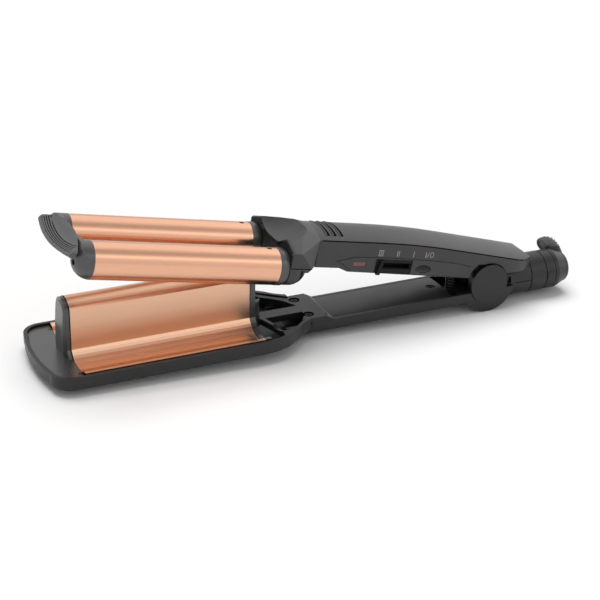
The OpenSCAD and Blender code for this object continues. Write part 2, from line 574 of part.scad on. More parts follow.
// shroud joining the two barrels to the handle
seam_z = 25.2;
module shroud_hull() hull() {
    for (p = [[bx1 + 5.6, 32, seam_z], [bx1 + 19.5, 32, seam_z], [bx1 + 7.1, 32, 34.3], [bx1 + 11.4, 32, 34.3], [bx1 + 6.3, 14, 40.4], [bx1 + 7.7, 11, 41.6], [bx1 + 19.7, 9, 41.9], [bx1 + 4.1, 31, seam_z], [bx1 + 4.1, 30.4, 32.5], [bx1 + 4.3, 18, 37.6]])
        for (m = [-1, 1]) translate([p[0], m * p[1], p[2]]) cube(0.02, center = true);
    // meets the handle section
    translate([body_x0 - 0.09, 0, 0]) intersection() { translate([-body_x0 - 0.5, 0, 0]) body(0); bx([0, -40, seam_z], [0.04, 40, 80]); }
}
module shroud_top() difference() {
    shroud_hull();
    // dished top between the barrels
    translate([bx1 + 5.7, 0, 57]) { cy(0, -4, 4, 0, 24); for (m = [-4, 4]) translate([0, m, 0]) sphere(r = 24, $fn = 96); }
    // sockets for the barrel collars
    both() cx(bx1 - 0.3, bx1 + 14.7, by, barrel_z, br - 1.1);
    both() intersection() { cx(bx1 - 0.3, bx1 + 17.7, by, barrel_z, br + 3.6); bx([bx1 - 10.3, 0, seam_z - 1], [bx1 + 5.9, 60, 60]); }
    // notch that clears the ridge end when closed
    bx([bx1 - 10.3, -ridge_w - 1.3, 0], [bx1 + 5.7, ridge_w + 1.3, 60]);
    cz(bx1 + 5.7, 0, 0, 31, ridge_w + 1.3);
    // front of the handle plugs in
    bx([bx1 + 13.7, -12.5, seam_z - 1], [body_x0 + 1, 12.5, 32.5]);
}
module shroud_base() color("#343437") upper() difference() {
    union() {
        hull() for (m = [-1, 1]) for (p = [[bx1 + 5.6, 31.6, seam_z - 0.06], [bx1 + 19.3, 31.8, seam_z - 0.06], [bx1 + 6.1, 30, 21.6], [bx1 + 18.2, 30, 22.6], [body_x0 - 0.1, body_half, seam_z - 0.06], [bx1 + 23.2, 21.5, 18.9], [body_x0 - 0.1, body_half - 0.6, belly_front + 0.1], [bx1 + 9.7, 20, 19]])
            translate([p[0], m * p[1], p[2]]) cube(0.02, center = true);
        both() { cx(bx1 + 5.6, bx1 + 9.1, by, barrel_z, br - 0.2); intersection() { translate([bx1 + 9.1, by, barrel_z]) sphere(r = br - 0.2, $fn = 64); bx([bx1 + 9, 0, 0], [bx1 + 29.7, 60, seam_z - 0.06]); } }
    }
    bx([bx1 - 10.3, -60, seam_z - 0.05], [bx1 + 130, 60, 100]);
    both() cx(bx1 - 0.3, bx1 + 14.7, by, barrel_z, br - 1.1);
    bx([bx1 - 10.3, -ridge_w - 1.3, 0], [bx1 + 5.7, ridge_w + 1.3, 60]);
    cz(bx1 + 5.7, 0, 0, 60, ridge_w + 1.3);
    bx([bx1 + 15.7, -12.5, belly_front + 2], [body_x0 + 1, 12.5, 60]);
}
module barrel(s) difference() {
    cx(barrel_x, bx1 + 12, s * by, barrel_z, br);
    cx(barrel_x - 1, bx1 + 13, s * by, barrel_z, br - barrel_wall);
    cx(bx1 - 0.05, bx1 + 13, s * by, barrel_z, 60);
    cz(bx1 - 5.2, s * by, barrel_z, barrel_z + br + 1, barrel_screw_d / 2);
}
module barrel_near() color("#c98c62") upper() barrel(-1);
module barrel_far() color("#c98c62") upper() barrel(1);
module barrel_heaters() color("#d8d4cc") upper() both() bx([barrel_x + 10, by - 9.1, barrel_z - 3], [bx1 - 12, by + 9.1, barrel_z + 3]);
module collar(s) difference() {
    union() {
        cx(bx1 + 0.05, bx1 + 3.6, s * by, barrel_z, br + 0.15);
        cx(bx1 + 3.5, bx1 + 5.5, s * by, barrel_z, br - 0.7);
        cx(bx1 + 5.4, bx1 + 9, s * by, barrel_z, br - 1.25);
        cx(bx1 - 9, bx1 + 0.1, s * by, barrel_z, br - barrel_wall - 0.05);
    }
    cx(bx1 - 10, bx1 + 10, s * by, barrel_z, br - barrel_wall - 2.2);
    cz(bx1 - 5.2, s * by, barrel_z, barrel_z + br + 1, 1.1);
    cz(bx1 - 5.2, s * by, barrel_z + br - 1.95, barrel_z + br + 1, barrel_screw_d / 2 + 0.02);
}
module collar_near() color("#55555a") upper() collar(-1);
module collar_far() color("#55555a") upper() collar(1);
module barrel_screws() color("#5a5148") upper() both() difference() {
    union() {
        cz(bx1 - 5.2, by, barrel_z + br - 1.9, barrel_z + br - 0.35, barrel_screw_d / 2 - 0.03);
        cz(bx1 - 5.2, by, barrel_z + br - 3.2, barrel_z + br - 1.8, 1.08);
    }
    bx([bx1 - 6.3, by - 0.25, barrel_z + br - 0.9], [bx1 - 4.1, by + 0.25, barrel_z + br]);
}

// front caps and the hollow bridge between them
nose = 10.6;
bridge_x = barrel_x - 6.45;
tab_rear = bridge_x + 0.05;
bridge_top = barrel_z + br;
tab_front = barrel_x - 18.0;
tab_half = 29.8;
tab_bow = 150;
// tilt and radius of the lip's chamfer, which rises as it runs back to both tips
lip_tilt = 39;
lip_r = 118;
tab_turn = 190;
// side outline of the thumb tab, dished from its crest to its front edge
function tab_side(d) = concat([[barrel_x - 2, bridge_top + 0.1], [barrel_x - 2, bridge_top + 4 - d], [barrel_x - 6.35, bridge_top + 4 - d], [barrel_x - 6.35, bridge_top + 2.4 - d]],
    arc(tab_front + 1.7, 37 - d, 10, -8, -84, 12), [[tab_front - 2, 26.6 - d], [tab_front - 2, 25.4], [tab_front + 3.8, 22.6], [tab_front + 6, 22.7], [barrel_x - 10.5, 26.1], [barrel_x - 6.8, bridge_top + 0.1]]);
// side outline turned about an axis along x above, so the floor rises to both tips
module tab_sweep(p) translate([0, 0, tab_turn]) rotate([0, 90, 0]) rotate([0, 0, -12]) rotate_extrude(angle = 24, $fn = 480)
    polygon([for (q = p) [tab_turn - q[1], q[0]]]);
module tab_lens() intersection() {
    translate([tab_front + tab_bow, 0]) circle(r = tab_bow, $fn = 180);
    translate([tab_rear - 400, 0]) circle(r = 400, $fn = 960);
    square([400, 2 * tab_half], center = true);
}
module thumb_tab() color("#2b2b2d") upper() difference() {
    intersection() {
        tab_sweep(tab_side(0));
        translate([0, 0, 15]) linear_extrude(40) tab_lens();
        cx(barrel_x - 37.1, barrel_x + 12.9, 0, bridge_top + 2.4 - 74, 74);
    }
    // chamfered lip and underside
    translate([tab_front + lip_r * cos(lip_tilt), 0, 25 + lip_r * sin(lip_tilt)]) rotate([0, -lip_tilt, 0]) rotate([0, 0, 162])
        rotate_extrude(angle = 36, $fn = 480) polygon([for (p = [[3.4, 28.9], [-0.2, 25.0], [3.7, 23.0], [3.7, 12], [-14, 12], [-14, 28.9]])
            [lip_r - p[0] * cos(lip_tilt) - (p[1] - 25) * sin(lip_tilt), (p[1] - 25) * cos(lip_tilt) - p[0] * sin(lip_tilt)]]);
    // rib grooves, concentric with the front edge
    for (i = [0:4]) intersection() {
        translate([tab_front + tab_bow, 0, 20]) difference() {
            cylinder(h = 16, r = tab_bow - 1.3 - i * 1.2, $fn = 180);
            translate([0, 0, -1]) cylinder(h = 18, r = tab_bow - 1.85 - i * 1.2, $fn = 180);
        }
        tab_sweep([[tab_front - 3, 26.25], [tab_front + 8.6, 26.25], [tab_front + 8.6, 40], [tab_front - 3, 40]]);
        bx([barrel_x - 47.1, -27.5 + i * 0.8, 10], [barrel_x + 12.9, 27.5 - i * 0.8, 60]);
    }
}
module tip_frame() color("#56575a") upper() difference() {
    union() {
        both() {
            intersection() {
                union() {
                    cx(barrel_x - nose, barrel_x - 0.05, by, barrel_z, br + 0.05);
                    bx([barrel_x - nose, by - br + 0.6, barrel_z], [barrel_x - 4.4, by, bridge_top]);
                }
                // ball-shaped below, upright above
                union() { translate([barrel_x + 0.9, by, barrel_z]) sphere(r = br + 0.02); cz(barrel_x + 0.9, by, barrel_z, 60, br + 0.02); }
                // cut back under the tab
                xz(0, 60) polygon([[barrel_x, bridge_top + 5], [barrel_x, barrel_z - br - 1], [barrel_x - 12, barrel_z - br - 1], [barrel_x - 12, 22.0], [barrel_x - 10.9, 25.4], [barrel_x - 6.5, bridge_top], [barrel_x - 6.5, bridge_top + 5]]);
            }
            cx(barrel_x - 1, barrel_x + 8, by, barrel_z, br - barrel_wall - 0.05);
        }
        xz(-by, by) polygon([[bridge_x, bridge_top], [barrel_x - 6.7, bridge_top], [barrel_x - 10.25, 25.9], [barrel_x - 11.1, 24.2], [barrel_x - 11.4, 23.2], [bridge_x - 0.6, 22.2]]);
    }
    both() {
        cx(barrel_x - 3, barrel_x + 9, by, barrel_z, br - barrel_wall - 2.2);
        // screw seats in the noses
        cx(barrel_x - nose - 1, barrel_x - nose + 3.0, by + 2.3, barrel_z - 0.6, 1.75);
        cx(barrel_x - nose - 1, barrel_x - 2, by + 2.3, barrel_z - 0.6, 1.0);
    }
}
module tip_screws() color("#6f7175") upper() both() difference() {
    union() {
        cx(barrel_x - nose + 1.7, barrel_x - nose + 2.9, by + 2.3, barrel_z - 0.6, 1.65);
        cx(barrel_x - nose + 2.8, barrel_x - nose + 8, by + 2.3, barrel_z - 0.6, 0.98);
    }
    bx([barrel_x - nose + 1, by + 1.2, barrel_z - 0.85], [barrel_x - nose + 2.3, by + 3.4, barrel_z - 0.35]);
}

// control panel, let into the near side of the handle
module panel_shape(c) polygon(concat([[113.5 - 3 * c, 25.0], [118.4 - c, 23.4 - c], [124.2, belly_low + 0.3 - c], [200, 17.8 - c], [206, 18.2 - c], [208.4 + c, 24.4 + c], [196, 26.4 + c], [181, 27.4 + c], [150, 28.3 + c], [127, 28.1 + c]]));
module control_panel() color("#343436") upper() difference() {
    xz(-body_half - 0.35, -body_half + 1.25) panel_shape(0);
    bx([lamp_x, -20, lamp_z - lamp_h / 2], [lamp_x + lamp_l, -10, lamp_z + lamp_h / 2]);
    bx([slider_x - 3.2, -20, slider_z - 5.2], [slider_x + slider_travel + 2.4, -body_half + 0.5, slider_z + 4.8]);
    bx([slider_x - 1.8, -20, slider_z - 1.4], [slider_x + slider_travel + 1.8, -10, slider_z + 2.6]);
    intersection() {
        bx([button_x - button_l / 2 - 0.35, -20, button_z - button_h / 2 - 0.35], [button_x + button_l / 2 + 0.35, -10, button_z + button_h / 2 + 0.35]);
        cy(button_x, -20, -10, button_z + 5.6, 8.2);
        cy(button_x, -20, -10, button_z - 5.6, 8.2);
    }
}
// thin dark lining of the slider recess with the three marks
module slider_track() color("#1f1f21") upper() difference() {
    intersection() {
        bx([slider_x - 3.1, -body_half - 0.0, slider_z - 5.1], [slider_x + slider_travel + 2.3, -body_half + 0.45, slider_z + 4.7]);
        xz(-20, -10) panel_shape(0);
    }
    bx([slider_x - 1.7, -20, slider_z - 1.3], [slider_x + slider_travel + 1.7, -10, slider_z + 2.5]);
    for (i = [1:2]) bx([slider_x - 0.25 + i * slider_travel / 2, -20, slider_z + 3], [slider_x + 0.25 + i * slider_travel / 2, -body_half + 0.2, slider_z + 4.8]);
}
module lamp_lens() color("#8c3a48") upper() {
    bx([lamp_x + 0.15, -body_half - 0.1, lamp_z - lamp_h / 2 + 0.15], [lamp_x + lamp_l - 0.15, -body_half + 3.4, lamp_z + lamp_h / 2 - 0.15]);
    bx([lamp_x - 0.8, -body_half + body_t + 0.1, lamp_z - lamp_h / 2 - 0.8], [lamp_x + lamp_l + 0.8, -body_half + body_t + 1.2, lamp_z + lamp_h / 2 + 0.8]);
}
module circuit_board() color("#27512f") upper() difference() {
    bx([123, -8.2, 21.0], [192, -6.6, 33]);
    cy(127, -10, 0, 30, 1.2);
    cy(188, -10, 0, 30, 1.2);
}
module switch_bodies() color("#6a6a6e") upper() {
    bx([slider_x - 4, -9.9, slider_z - 1.4], [slider_x + slider_travel + 4, -8.25, slider_z + 4]);
    bx([button_x - 3, -11.6, button_z - 1.5], [button_x + 3, -8.25, button_z + 4.5]);
    cy(button_x, -11.95, -11.5, button_z, 1.4);
}
module temp_slider() color("#262628") upper() {
    // fin with a slanted grip and the carriage behind the wall
    difference() {
        xz(-body_half - 1.9, -body_half - 0.05) polygon([[slider_x - fin_w / 2 - 1.1, slider_z - fin_h / 2 - 0.7], [slider_x + fin_w / 2 - 0.9, slider_z - fin_h / 2 - 0.7], [slider_x + fin_w / 2 + 0.7, slider_z + fin_h / 2], [slider_x - fin_w / 2 + 0.7, slider_z + fin_h / 2]]);
        for (i = [0:4]) bx([slider_x - 5, -body_half - 2.2, slider_z - 3.8 + i * 1.6], [slider_x + 5, -body_half - 1.6, slider_z - 3.3 + i * 1.6]);
    }
    bx([slider_x - 1.2, -body_half - 0.1, slider_z - 1.0], [slider_x + 1.2, -body_half + body_t + 0.5, slider_z + 2.2]);
    bx([slider_x - 3, -body_half + body_t + 0.35, slider_z - 1.0], [slider_x + 3, -body_half + body_t + 1.6, slider_z + 4.4]);
    bx([slider_x - 1, -body_half + body_t + 1.5, slider_z - 0.8], [slider_x + 1, -10.2, slider_z + 1.6]);
}
module power_button() color("#2f2f31") upper() {
    intersection() {
        bx([button_x - button_l / 2, -body_half - 0.25, button_z - button_h / 2], [button_x + button_l / 2, -body_half + body_t - 0.9, button_z + button_h / 2]);
        cy(button_x, -20, -10, button_z + 5.6, 7.9);
        cy(button_x, -20, -10, button_z - 5.6, 7.9);
    }
    bx([button_x - 2, -body_half + body_t - 1, button_z - 1.2], [button_x + 2, -13.0, button_z + 1.2]);
}

// ---- cord swivel -----------------------------------------------------
outlet_x = drum_x1 - 3.2;
// joint between the drum and its end cap
cap_x0 = drum_x1 - 12.4;
// radius of the boot's root inside the cap
root_r = 2.7;
// stand on the drum axis, looking out along the cord outlet
module at_outlet() translate([outlet_x, 0, neck_z]) rotate([outlet_tilt - 90, 0, 0]) children();
module outlet(r, l0, l1) at_outlet() translate([0, 0, l0]) cylinder(h = l1 - l0, r = r);
module swivel_drum() color("#363638") lower() difference() {
    union() {
        cx(drum_x0, cap_x0, 0, neck_z, neck_r);
        cx(drum_x0 - 9, drum_x0 + 1, 0, neck_z, sleeve_r);
        cx(drum_x0 - 7.4, drum_x0 - 5.6, 0, neck_z, sleeve_r + 1.2);
    }
    cx(drum_x0 - 10, cap_x0 + 2.6, 0, neck_z, sleeve_r - 2);
    bx([drum_x0 + 0.8, -20, neck_z - 3.2], [cap_x0 - 0.4, -neck_r + 2.2, neck_z + 3.2]);
}
module swivel_key() color("#4a4a4c") lower() intersection() {
    bx([drum_x0 + 0.95, -20, neck_z - 3.05], [cap_x0 - 0.55, -neck_r + 2.1, neck_z + 3.05]);
    cx(drum_x0, cap_x0 + 2.6, 0, neck_z, neck_r + 0.1);
}
module swivel_cap() color("#303032") lower() difference() {
    union() {
        // tapered, rounded end
        translate([0, 0, neck_z]) rotate([0, 90, 0]) rotate_extrude($fn = 64) polygon(concat([[0, cap_x0 + 0.05], [neck_r, cap_x0 + 0.05], [neck_r, drum_x1 - 9.8], [9.8, drum_x1 - 2.6]],
            arc(6.8, drum_x1 - 3.2, 3.2, 15, 90, 8), [[0, drum_x1]]));
        cx(cap_x0 - 2.4, cap_x0 + 0.6, 0, neck_z, sleeve_r - 2.05);
        intersection() { outlet(relief_r + 1.1, 4, 12); bx([cap_x0 - 7.4, -20, -10], [drum_x1 - 0.5, 20, 40]); }
    }
    cx(cap_x0 - 7.4, cap_x0 + 6.8, 0, neck_z, sleeve_r - 3.4);
    outlet(root_r + 0.1, 4.2, 20);
}
// ribbed boot, bent back over the handle
module relief_bent(r, a0, a1) at_outlet() translate([-relief_bend, 0, 12.1]) rotate([90, 0, 0]) rotate([0, 0, a0])
    rotate_extrude(angle = a1 - a0, $fn = 90) translate([relief_bend, 0]) circle(r = r, $fn = 48);
module strain_relief() color("#48484b") lower() difference() {
    union() {
        outlet(root_r, 4.4, 12.3);
        relief_bent(relief_r - 0.75, 0, relief_turn);
        for (i = [0:8]) relief_bent(relief_r, 3 + i * (relief_turn - 12) / 8, 3 + (i + 0.55) * (relief_turn - 12) / 8);
        at_mouth(-0.2) cylinder(h = 1.1, r = relief_r - 0.9);
    }
    // blind bore for the cord
    at_mouth(-1.6) cylinder(h = 6, d = cord_d);
}
module at_mouth(l) at_outlet() translate([-relief_bend, 0, 12.1]) rotate([90, 0, 0]) rotate([0, 0, relief_turn]) translate([relief_bend, 0, 0]) rotate([-90, 0, 0]) translate([0, 0, l]) children();

lower_shell();
lower_cover();
wave_plate();
plate_front_cap();
plate_rear_cap();
plate_heater();
heater_clip();
deck_screws();
lever_screws();
neck_cover();
neck_collar();
hinge_pin();
hinge_cap_near();
hinge_cap_far();
return_spring();
spring_post();
handle_shell();
top_shell();
shroud_base();
barrel_near();
barrel_far();
barrel_heaters();
collar_near();
collar_far();
barrel_screws();
tip_frame();
thumb_tab();
tip_screws();
control_panel();
slider_track();
lamp_lens();
circuit_board();
switch_bodies();
temp_slider();
power_button();
swivel_drum();
swivel_cap();
swivel_key();
strain_relief();
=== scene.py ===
"""Hair waver: finishes, printed marks, shadow gaps, ribbed cord boot, coil spring and studio
stage, built round the packed CAD parts. Metres, Z up; the arms' own drawings are in mm."""

import math

import bmesh
import bpy
from mathutils import Matrix, Vector


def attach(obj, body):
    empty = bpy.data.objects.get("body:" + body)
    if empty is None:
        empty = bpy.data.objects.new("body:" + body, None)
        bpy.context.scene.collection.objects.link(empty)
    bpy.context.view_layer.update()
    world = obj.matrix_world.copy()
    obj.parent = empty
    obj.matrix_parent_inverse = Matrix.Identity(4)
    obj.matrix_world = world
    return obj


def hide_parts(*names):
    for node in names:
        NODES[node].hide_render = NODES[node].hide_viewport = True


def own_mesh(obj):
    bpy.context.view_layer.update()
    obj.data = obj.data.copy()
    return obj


bl_info = {
    "name": "Hair Waver Builder",
    "version": (1, 0, 0),
    "blender": (4, 5, 0),
    "location": "3D View > Sidebar > Hair Waver",
    "description": "Dresses the hair waver's parts and sets up its studio",
    "category": "Object",
}

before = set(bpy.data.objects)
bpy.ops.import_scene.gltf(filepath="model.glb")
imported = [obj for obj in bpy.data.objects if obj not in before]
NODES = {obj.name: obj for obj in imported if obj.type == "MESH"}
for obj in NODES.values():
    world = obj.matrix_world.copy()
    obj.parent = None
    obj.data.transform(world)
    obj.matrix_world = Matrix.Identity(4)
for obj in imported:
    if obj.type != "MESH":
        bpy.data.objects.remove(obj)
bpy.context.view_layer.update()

MM = 0.001

# stance of the arms, as in the part's source: the hinge on the level lower arm and its
# height over the table, in mm, and the opening of the upper arm
HINGE = (224.4, 13.8)
HINGE_HEIGHT = 19.0
REST_PITCH = math.asin(HINGE_HEIGHT / math.hypot(*HINGE)) - math.atan2(HINGE[1], HINGE[0])
OPEN_ANGLE = math.radians(11.5)

# places on the arms' own drawings that the added pieces and shades keep to, in mm
NECK_RADIUS, NECK_HEIGHT = 12.6, 8.4
NECK_JOINTS = ((259.35, 0.8), (270.6, 0.6))  # place along the neck and width of the shadow
CAP_JOINT = (277.45, 0.3)
NECK_SEAMS = ((247.0, 259.0), (271.0, 277.2))
PLATE_ENDS = (-45.0, 65.3)
DECK_SCREWS = ((102.8, -10.8, 12.3), (102.8, 10.8, 12.3))
HANDLE_SEAM = (101.5, 254.5)
HANDLE_PARTING = (  # place along the closed handle and height of its parting line
    (140, 37.55), (150, 37.49), (160, 37.24), (170, 36.8), (180, 36.16), (190, 35.33), (260, 28.47),
)
HANDLE_SIDE = -16.5
SHROUD_SEAM = ((76.2, 80, 84, 89.6), 32.0, 25.2)  # places along it, half width and height
SHROUD_WALL = 76.35
SHROUD_HALF = 30.6
VENTS = (107.0, 111.5, 116.0)
VENT_SPAN = (-12.2, 12.4)
BUTTON = (174.2, -16.7, 21.9)
BUTTON_HALF = (5.2, 2.1)
SPRING_SEAT = (206.0, 0.0, 6.1)
CAMERA_PLACE = (-271.25, -816.18, 439.76)


def lower_point(x, y, z):
    """World place, in metres, of a point of the lower arm drawn level, in mm."""
    c, s = math.cos(REST_PITCH), math.sin(REST_PITCH)
    return Vector((x * c - z * s, y, x * s + z * c)) * MM


def upper_point(x, y, z):
    """World place, in metres, of a point of the upper arm drawn closed, in mm."""
    c, s = math.cos(OPEN_ANGLE), math.sin(OPEN_ANGLE)
    dx, dz = x - HINGE[0], z - HINGE[1]
    return lower_point(HINGE[0] + dx * c + dz * s, y, HINGE[1] - dx * s + dz * c)


def direction(place, x, y, z):
    """World direction of a step in an arm's drawing, place being that arm's function."""
    return (place(x, y, z) - place(0, 0, 0)).normalized()


LOWER_ALONG, LOWER_UP = direction(lower_point, 1, 0, 0), direction(lower_point, 0, 0, 1)
UPPER_ALONG, UPPER_UP = direction(upper_point, 1, 0, 0), direction(upper_point, 0, 0, 1)
LOWER_TURN = Matrix.Rotation(-REST_PITCH, 3, "Y")


# ---- node helpers ------------------------------------------------------


class Graph:
    """Short hand for building a node tree."""

    def __init__(self, tree):
        self.tree = tree

    def add(self, kind, inputs=None, **props):
        node = self.tree.nodes.new(kind)
        for key, value in props.items():
            setattr(node, key, value)
        for key, value in (inputs or {}).items():
            self.put(value, node.inputs[key])
        return node

    def put(self, value, socket):
        """Links a socket's value, or sets a plain one."""
        if isinstance(value, bpy.types.NodeSocket):
            self.tree.links.new(value, socket)
        else:
            socket.default_value = value

    def link(self, a, b):
        self.tree.links.new(a, b)

    def math(self, op, a, b=0.0, clamp=False):
        node = self.add("ShaderNodeMath", {0: a, 1: b}, operation=op, use_clamp=clamp)
        return node.outputs[0]

    def dot(self, a, b):
        node = self.add("ShaderNodeVectorMath", {0: a, 1: b}, operation="DOT_PRODUCT")
        return node.outputs["Value"]

    def offset(self, place, centre):
        """How far a place is from a fixed centre."""
        node = self.add("ShaderNodeVectorMath", {0: place, 1: tuple(centre)}, operation="SUBTRACT")
        return node.outputs[0]

    def place(self):
        return self.add("ShaderNodeTexCoord").outputs["Object"]

    def noise(self, place, scale, detail, **more):
        values = {"Vector": place, "Scale": scale, "Detail": detail, **more}
        return self.add("ShaderNodeTexNoise", values).outputs[0]

    def ramp(self, value, *stops):
        node = self.add("ShaderNodeValToRGB")
        points = node.color_ramp.elements
        while len(points) < len(stops):
            points.new(0.5)
        for point, (place, colour) in zip(points, stops):
            point.position = place
            level = (colour,) * 3 if isinstance(colour, (int, float)) else colour
            point.color = (*level, 1.0)
        self.link(value, node.inputs[0])
        return node.outputs[0]

    def mixed(self, factor, a, b):
        """Colour a turning to b by factor."""
        node = self.add("ShaderNodeMix", data_type="RGBA")
        self.put(factor, node.inputs["Factor"])
        for key, value in (("A", a), ("B", b)):
            self.put((*value, 1.0) if isinstance(value, tuple) else value, node.inputs[key])
        return node.outputs["Result"]

    def bump(self, shader, height, strength, distance, normal=None):
        """Gives the shader a bumped normal."""
        values = {"Strength": strength, "Distance": distance, "Height": height}
        if normal is not None:
            values["Normal"] = normal
        self.link(self.add("ShaderNodeBump", values).outputs[0], shader.inputs["Normal"])

    def shared(self, key, **values):
        """The outputs of a shared shader group, placed with its own values."""
        node = self.add("ShaderNodeGroup", node_tree=group(key))
        for name, value in values.items():
            node.inputs[name.replace("_", " ")].default_value = value
        return node.outputs


def tint(colour, factor):
    """The colour made lighter or darker, at most white."""
    return tuple(min(c * factor, 1.0) for c in colour)


FLOAT, VECTOR = "NodeSocketFloat", "NodeSocketVector"


def shader_group(name, inputs, outputs):
    """A new shader group with named number inputs: tree, graph, its inputs, its outputs."""
    tree = bpy.data.node_groups.new(name, "ShaderNodeTree")
    for key, value in inputs.items():
        tree.interface.new_socket(name=key, in_out="INPUT", socket_type=FLOAT).default_value = value
    for key, kind in outputs.items():
        tree.interface.new_socket(name=key, in_out="OUTPUT", socket_type=kind)
    g = Graph(tree)
    return tree, g, g.add("NodeGroupInput").outputs, g.add("NodeGroupOutput").inputs


def build_edge_group():
    """Rounded-edge normal and a mask of the exposed edges, broken up by noise, which the materials
    use for a painted edge highlight and for edge polish.
    """
    tree, g, given, out = shader_group(
        "Soft Edges", {"Radius": 0.0005, "Patch Scale": 900.0}, {"Normal": VECTOR, "Edge": FLOAT}
    )
    bevel = g.add("ShaderNodeBevel", {"Radius": given["Radius"]}, samples=6).outputs[0]
    flat = g.add("ShaderNodeNewGeometry").outputs["Normal"]
    edge = g.math("SUBTRACT", 1.0, g.dot(bevel, flat), clamp=True)
    patchy = g.noise(g.place(), given["Patch Scale"], 3.0)
    g.link(bevel, out["Normal"])
    g.link(g.math("MULTIPLY", g.math("MULTIPLY", edge, 6.0, clamp=True), patchy), out["Edge"])
    return tree


def build_grain_group():
    """Spark-eroded mould grain: fine bump height, a slow roughness drift and a fine speckle."""
    tree, g, given, out = shader_group(
        "Moulded Grain",
        {"Grain Scale": 4200.0, "Drift Scale": 55.0},
        {"Height": FLOAT, "Drift": FLOAT, "Speckle": FLOAT},
    )
    place = g.place()
    grain = g.noise(place, given["Grain Scale"], 2.0, Roughness=0.6)
    pits = g.add("ShaderNodeTexVoronoi", {"Vector": place, "Scale": given["Grain Scale"]})
    pitted = g.math("MULTIPLY", pits.outputs["Distance"], 0.35)
    g.link(g.math("ADD", grain, pitted), out["Height"])
    g.link(g.noise(place, given["Drift Scale"], 3.0, Roughness=0.55), out["Drift"])
    g.link(g.ramp(grain, (0.42, 0.0), (0.68, 1.0)), out["Speckle"])
    return tree


def build_polish_group():
    """Faint polishing lines along X with a soft smudge mask and fine flecks."""
    tree, g, given, out = shader_group(
        "Lengthwise Polish",
        {"Line Scale": 1500.0, "Smudge Scale": 38.0},
        {"Lines": FLOAT, "Smudge": FLOAT, "Fleck": FLOAT},
    )
    place = g.place()
    drawn_out = g.add("ShaderNodeMapping", {"Vector": place, "Scale": (0.012, 1.0, 1.0)}).outputs[0]
    g.link(g.noise(drawn_out, given["Line Scale"], 3.0, Roughness=0.7), out["Lines"])
    g.link(g.noise(place, given["Smudge Scale"], 4.0, Distortion=0.6), out["Smudge"])
    g.link(g.ramp(g.noise(place, 5200.0, 1.0), (0.5, 0.0), (0.75, 1.0)), out["Fleck"])
    return tree


GROUPS = {}


def group(key):
    """The shared shader group of that name, built once."""
    makers = {"edge": build_edge_group, "grain": build_grain_group, "polish": build_polish_group}
    if key not in GROUPS:
        GROUPS[key] = makers[key]()
    return GROUPS[key]


# ---- materials ---------------------------------------------------------


def new_material(name, **sockets):
    """An empty material with a Principled shader, its plain values set on its own sockets."""
    material = bpy.data.materials.new(name)
    material.use_nodes = True
    material.node_tree.nodes.clear()
    g = Graph(material.node_tree)
    shader = g.add("ShaderNodeBsdfPrincipled", {k.replace("_", " "): v for k, v in sockets.items()})
    g.link(shader.outputs[0], g.add("ShaderNodeOutputMaterial").inputs[0])
    return material, g, shader


def moulded_plastic(name, colour, rough, depth=0.12, edge=0.0004, specular=0.4, lift=1.5):
    """Dark moulded plastic: grain bump, drifting roughness, slightly polished edges with a painted
    highlight on them.
    """
    material, g, shader = new_material(name, Specular_IOR_Level=specular)
    texture = g.shared("grain")
    edges = g.shared("edge", Radius=edge)
    tone = g.ramp(texture["Drift"], (0.3, tint(colour, 0.88)), (0.7, tint(colour, 1.1)))
    flecked = g.mixed(g.math("MULTIPLY", texture["Speckle"], 0.25), tone, tint(colour, 1.9))
    # painted highlight: the edges lighter than the rest, raised by lift
    edge_lit = g.mixed(edges["Edge"], flecked, tuple(c * lift + 0.01 for c in colour))
    g.link(edge_lit, shader.inputs["Base Color"])
    drifting = g.math("ADD", g.math("MULTIPLY", texture["Drift"], 0.16), rough - 0.08)
    polished = g.math("MULTIPLY", edges["Edge"], 0.12)
    g.link(g.math("SUBTRACT", drifting, polished), shader.inputs["Roughness"])
    g.bump(shader, texture["Height"], depth, 0.00012, edges["Normal"])
    return material


def shade_hollow(material):
    """Paints shade into the deep pocket ahead of the shroud's wall: near black and duller there."""
    g = Graph(material.node_tree)
    shader = next(n for n in material.node_tree.nodes if n.type == "BSDF_PRINCIPLED")
    place = g.place()
    ahead = g.dot(g.offset(place, upper_point(SHROUD_WALL, 0, 30)), tuple(UPPER_ALONG))
    across = g.math("ABSOLUTE", g.add("ShaderNodeSeparateXYZ", {0: place}).outputs[1])
    inside = g.math("LESS_THAN", across, SHROUD_HALF * MM)
    deep = g.math("MULTIPLY", g.math("LESS_THAN", ahead, 0.0), inside)
    base, rough = shader.inputs["Base Color"], shader.inputs["Roughness"]
    # painted shade: the pocket's colour turned near black
    g.link(g.mixed(deep, base.links[0].from_socket, (0.002, 0.002, 0.002)), base)
    g.link(g.math("MAXIMUM", rough.links[0].from_socket, g.math("MULTIPLY", deep, 0.8)), rough)
    return material


def rose_coating(name, colour, rough):
    """Satin rose-gold coating over metal, polished lengthwise."""
    material, g, shader = new_material(
        name, Metallic=1.0, Coat_Weight=0.12, Coat_Roughness=0.22, Coat_IOR=1.45
    )
    polish = g.shared("polish")
    edges = g.shared("edge", Radius=0.00035)
    tone = g.ramp(polish["Lines"], (0.3, tint(colour, 0.97)), (0.7, tint(colour, 1.03)))
    flecked = g.mixed(g.math("MULTIPLY", polish["Fleck"], 0.10), tone, tint(colour, 1.18))
    g.link(flecked, shader.inputs["Base Color"])
    smudged = g.math("MULTIPLY", polish["Smudge"], 0.05)
    drift = g.math("ADD", smudged, g.math("MULTIPLY", polish["Lines"], 0.05))
    g.link(g.math("ADD", drift, rough - 0.05), shader.inputs["Roughness"])
    g.bump(shader, polish["Lines"], 0.05, 0.00005, edges["Normal"])
    return material


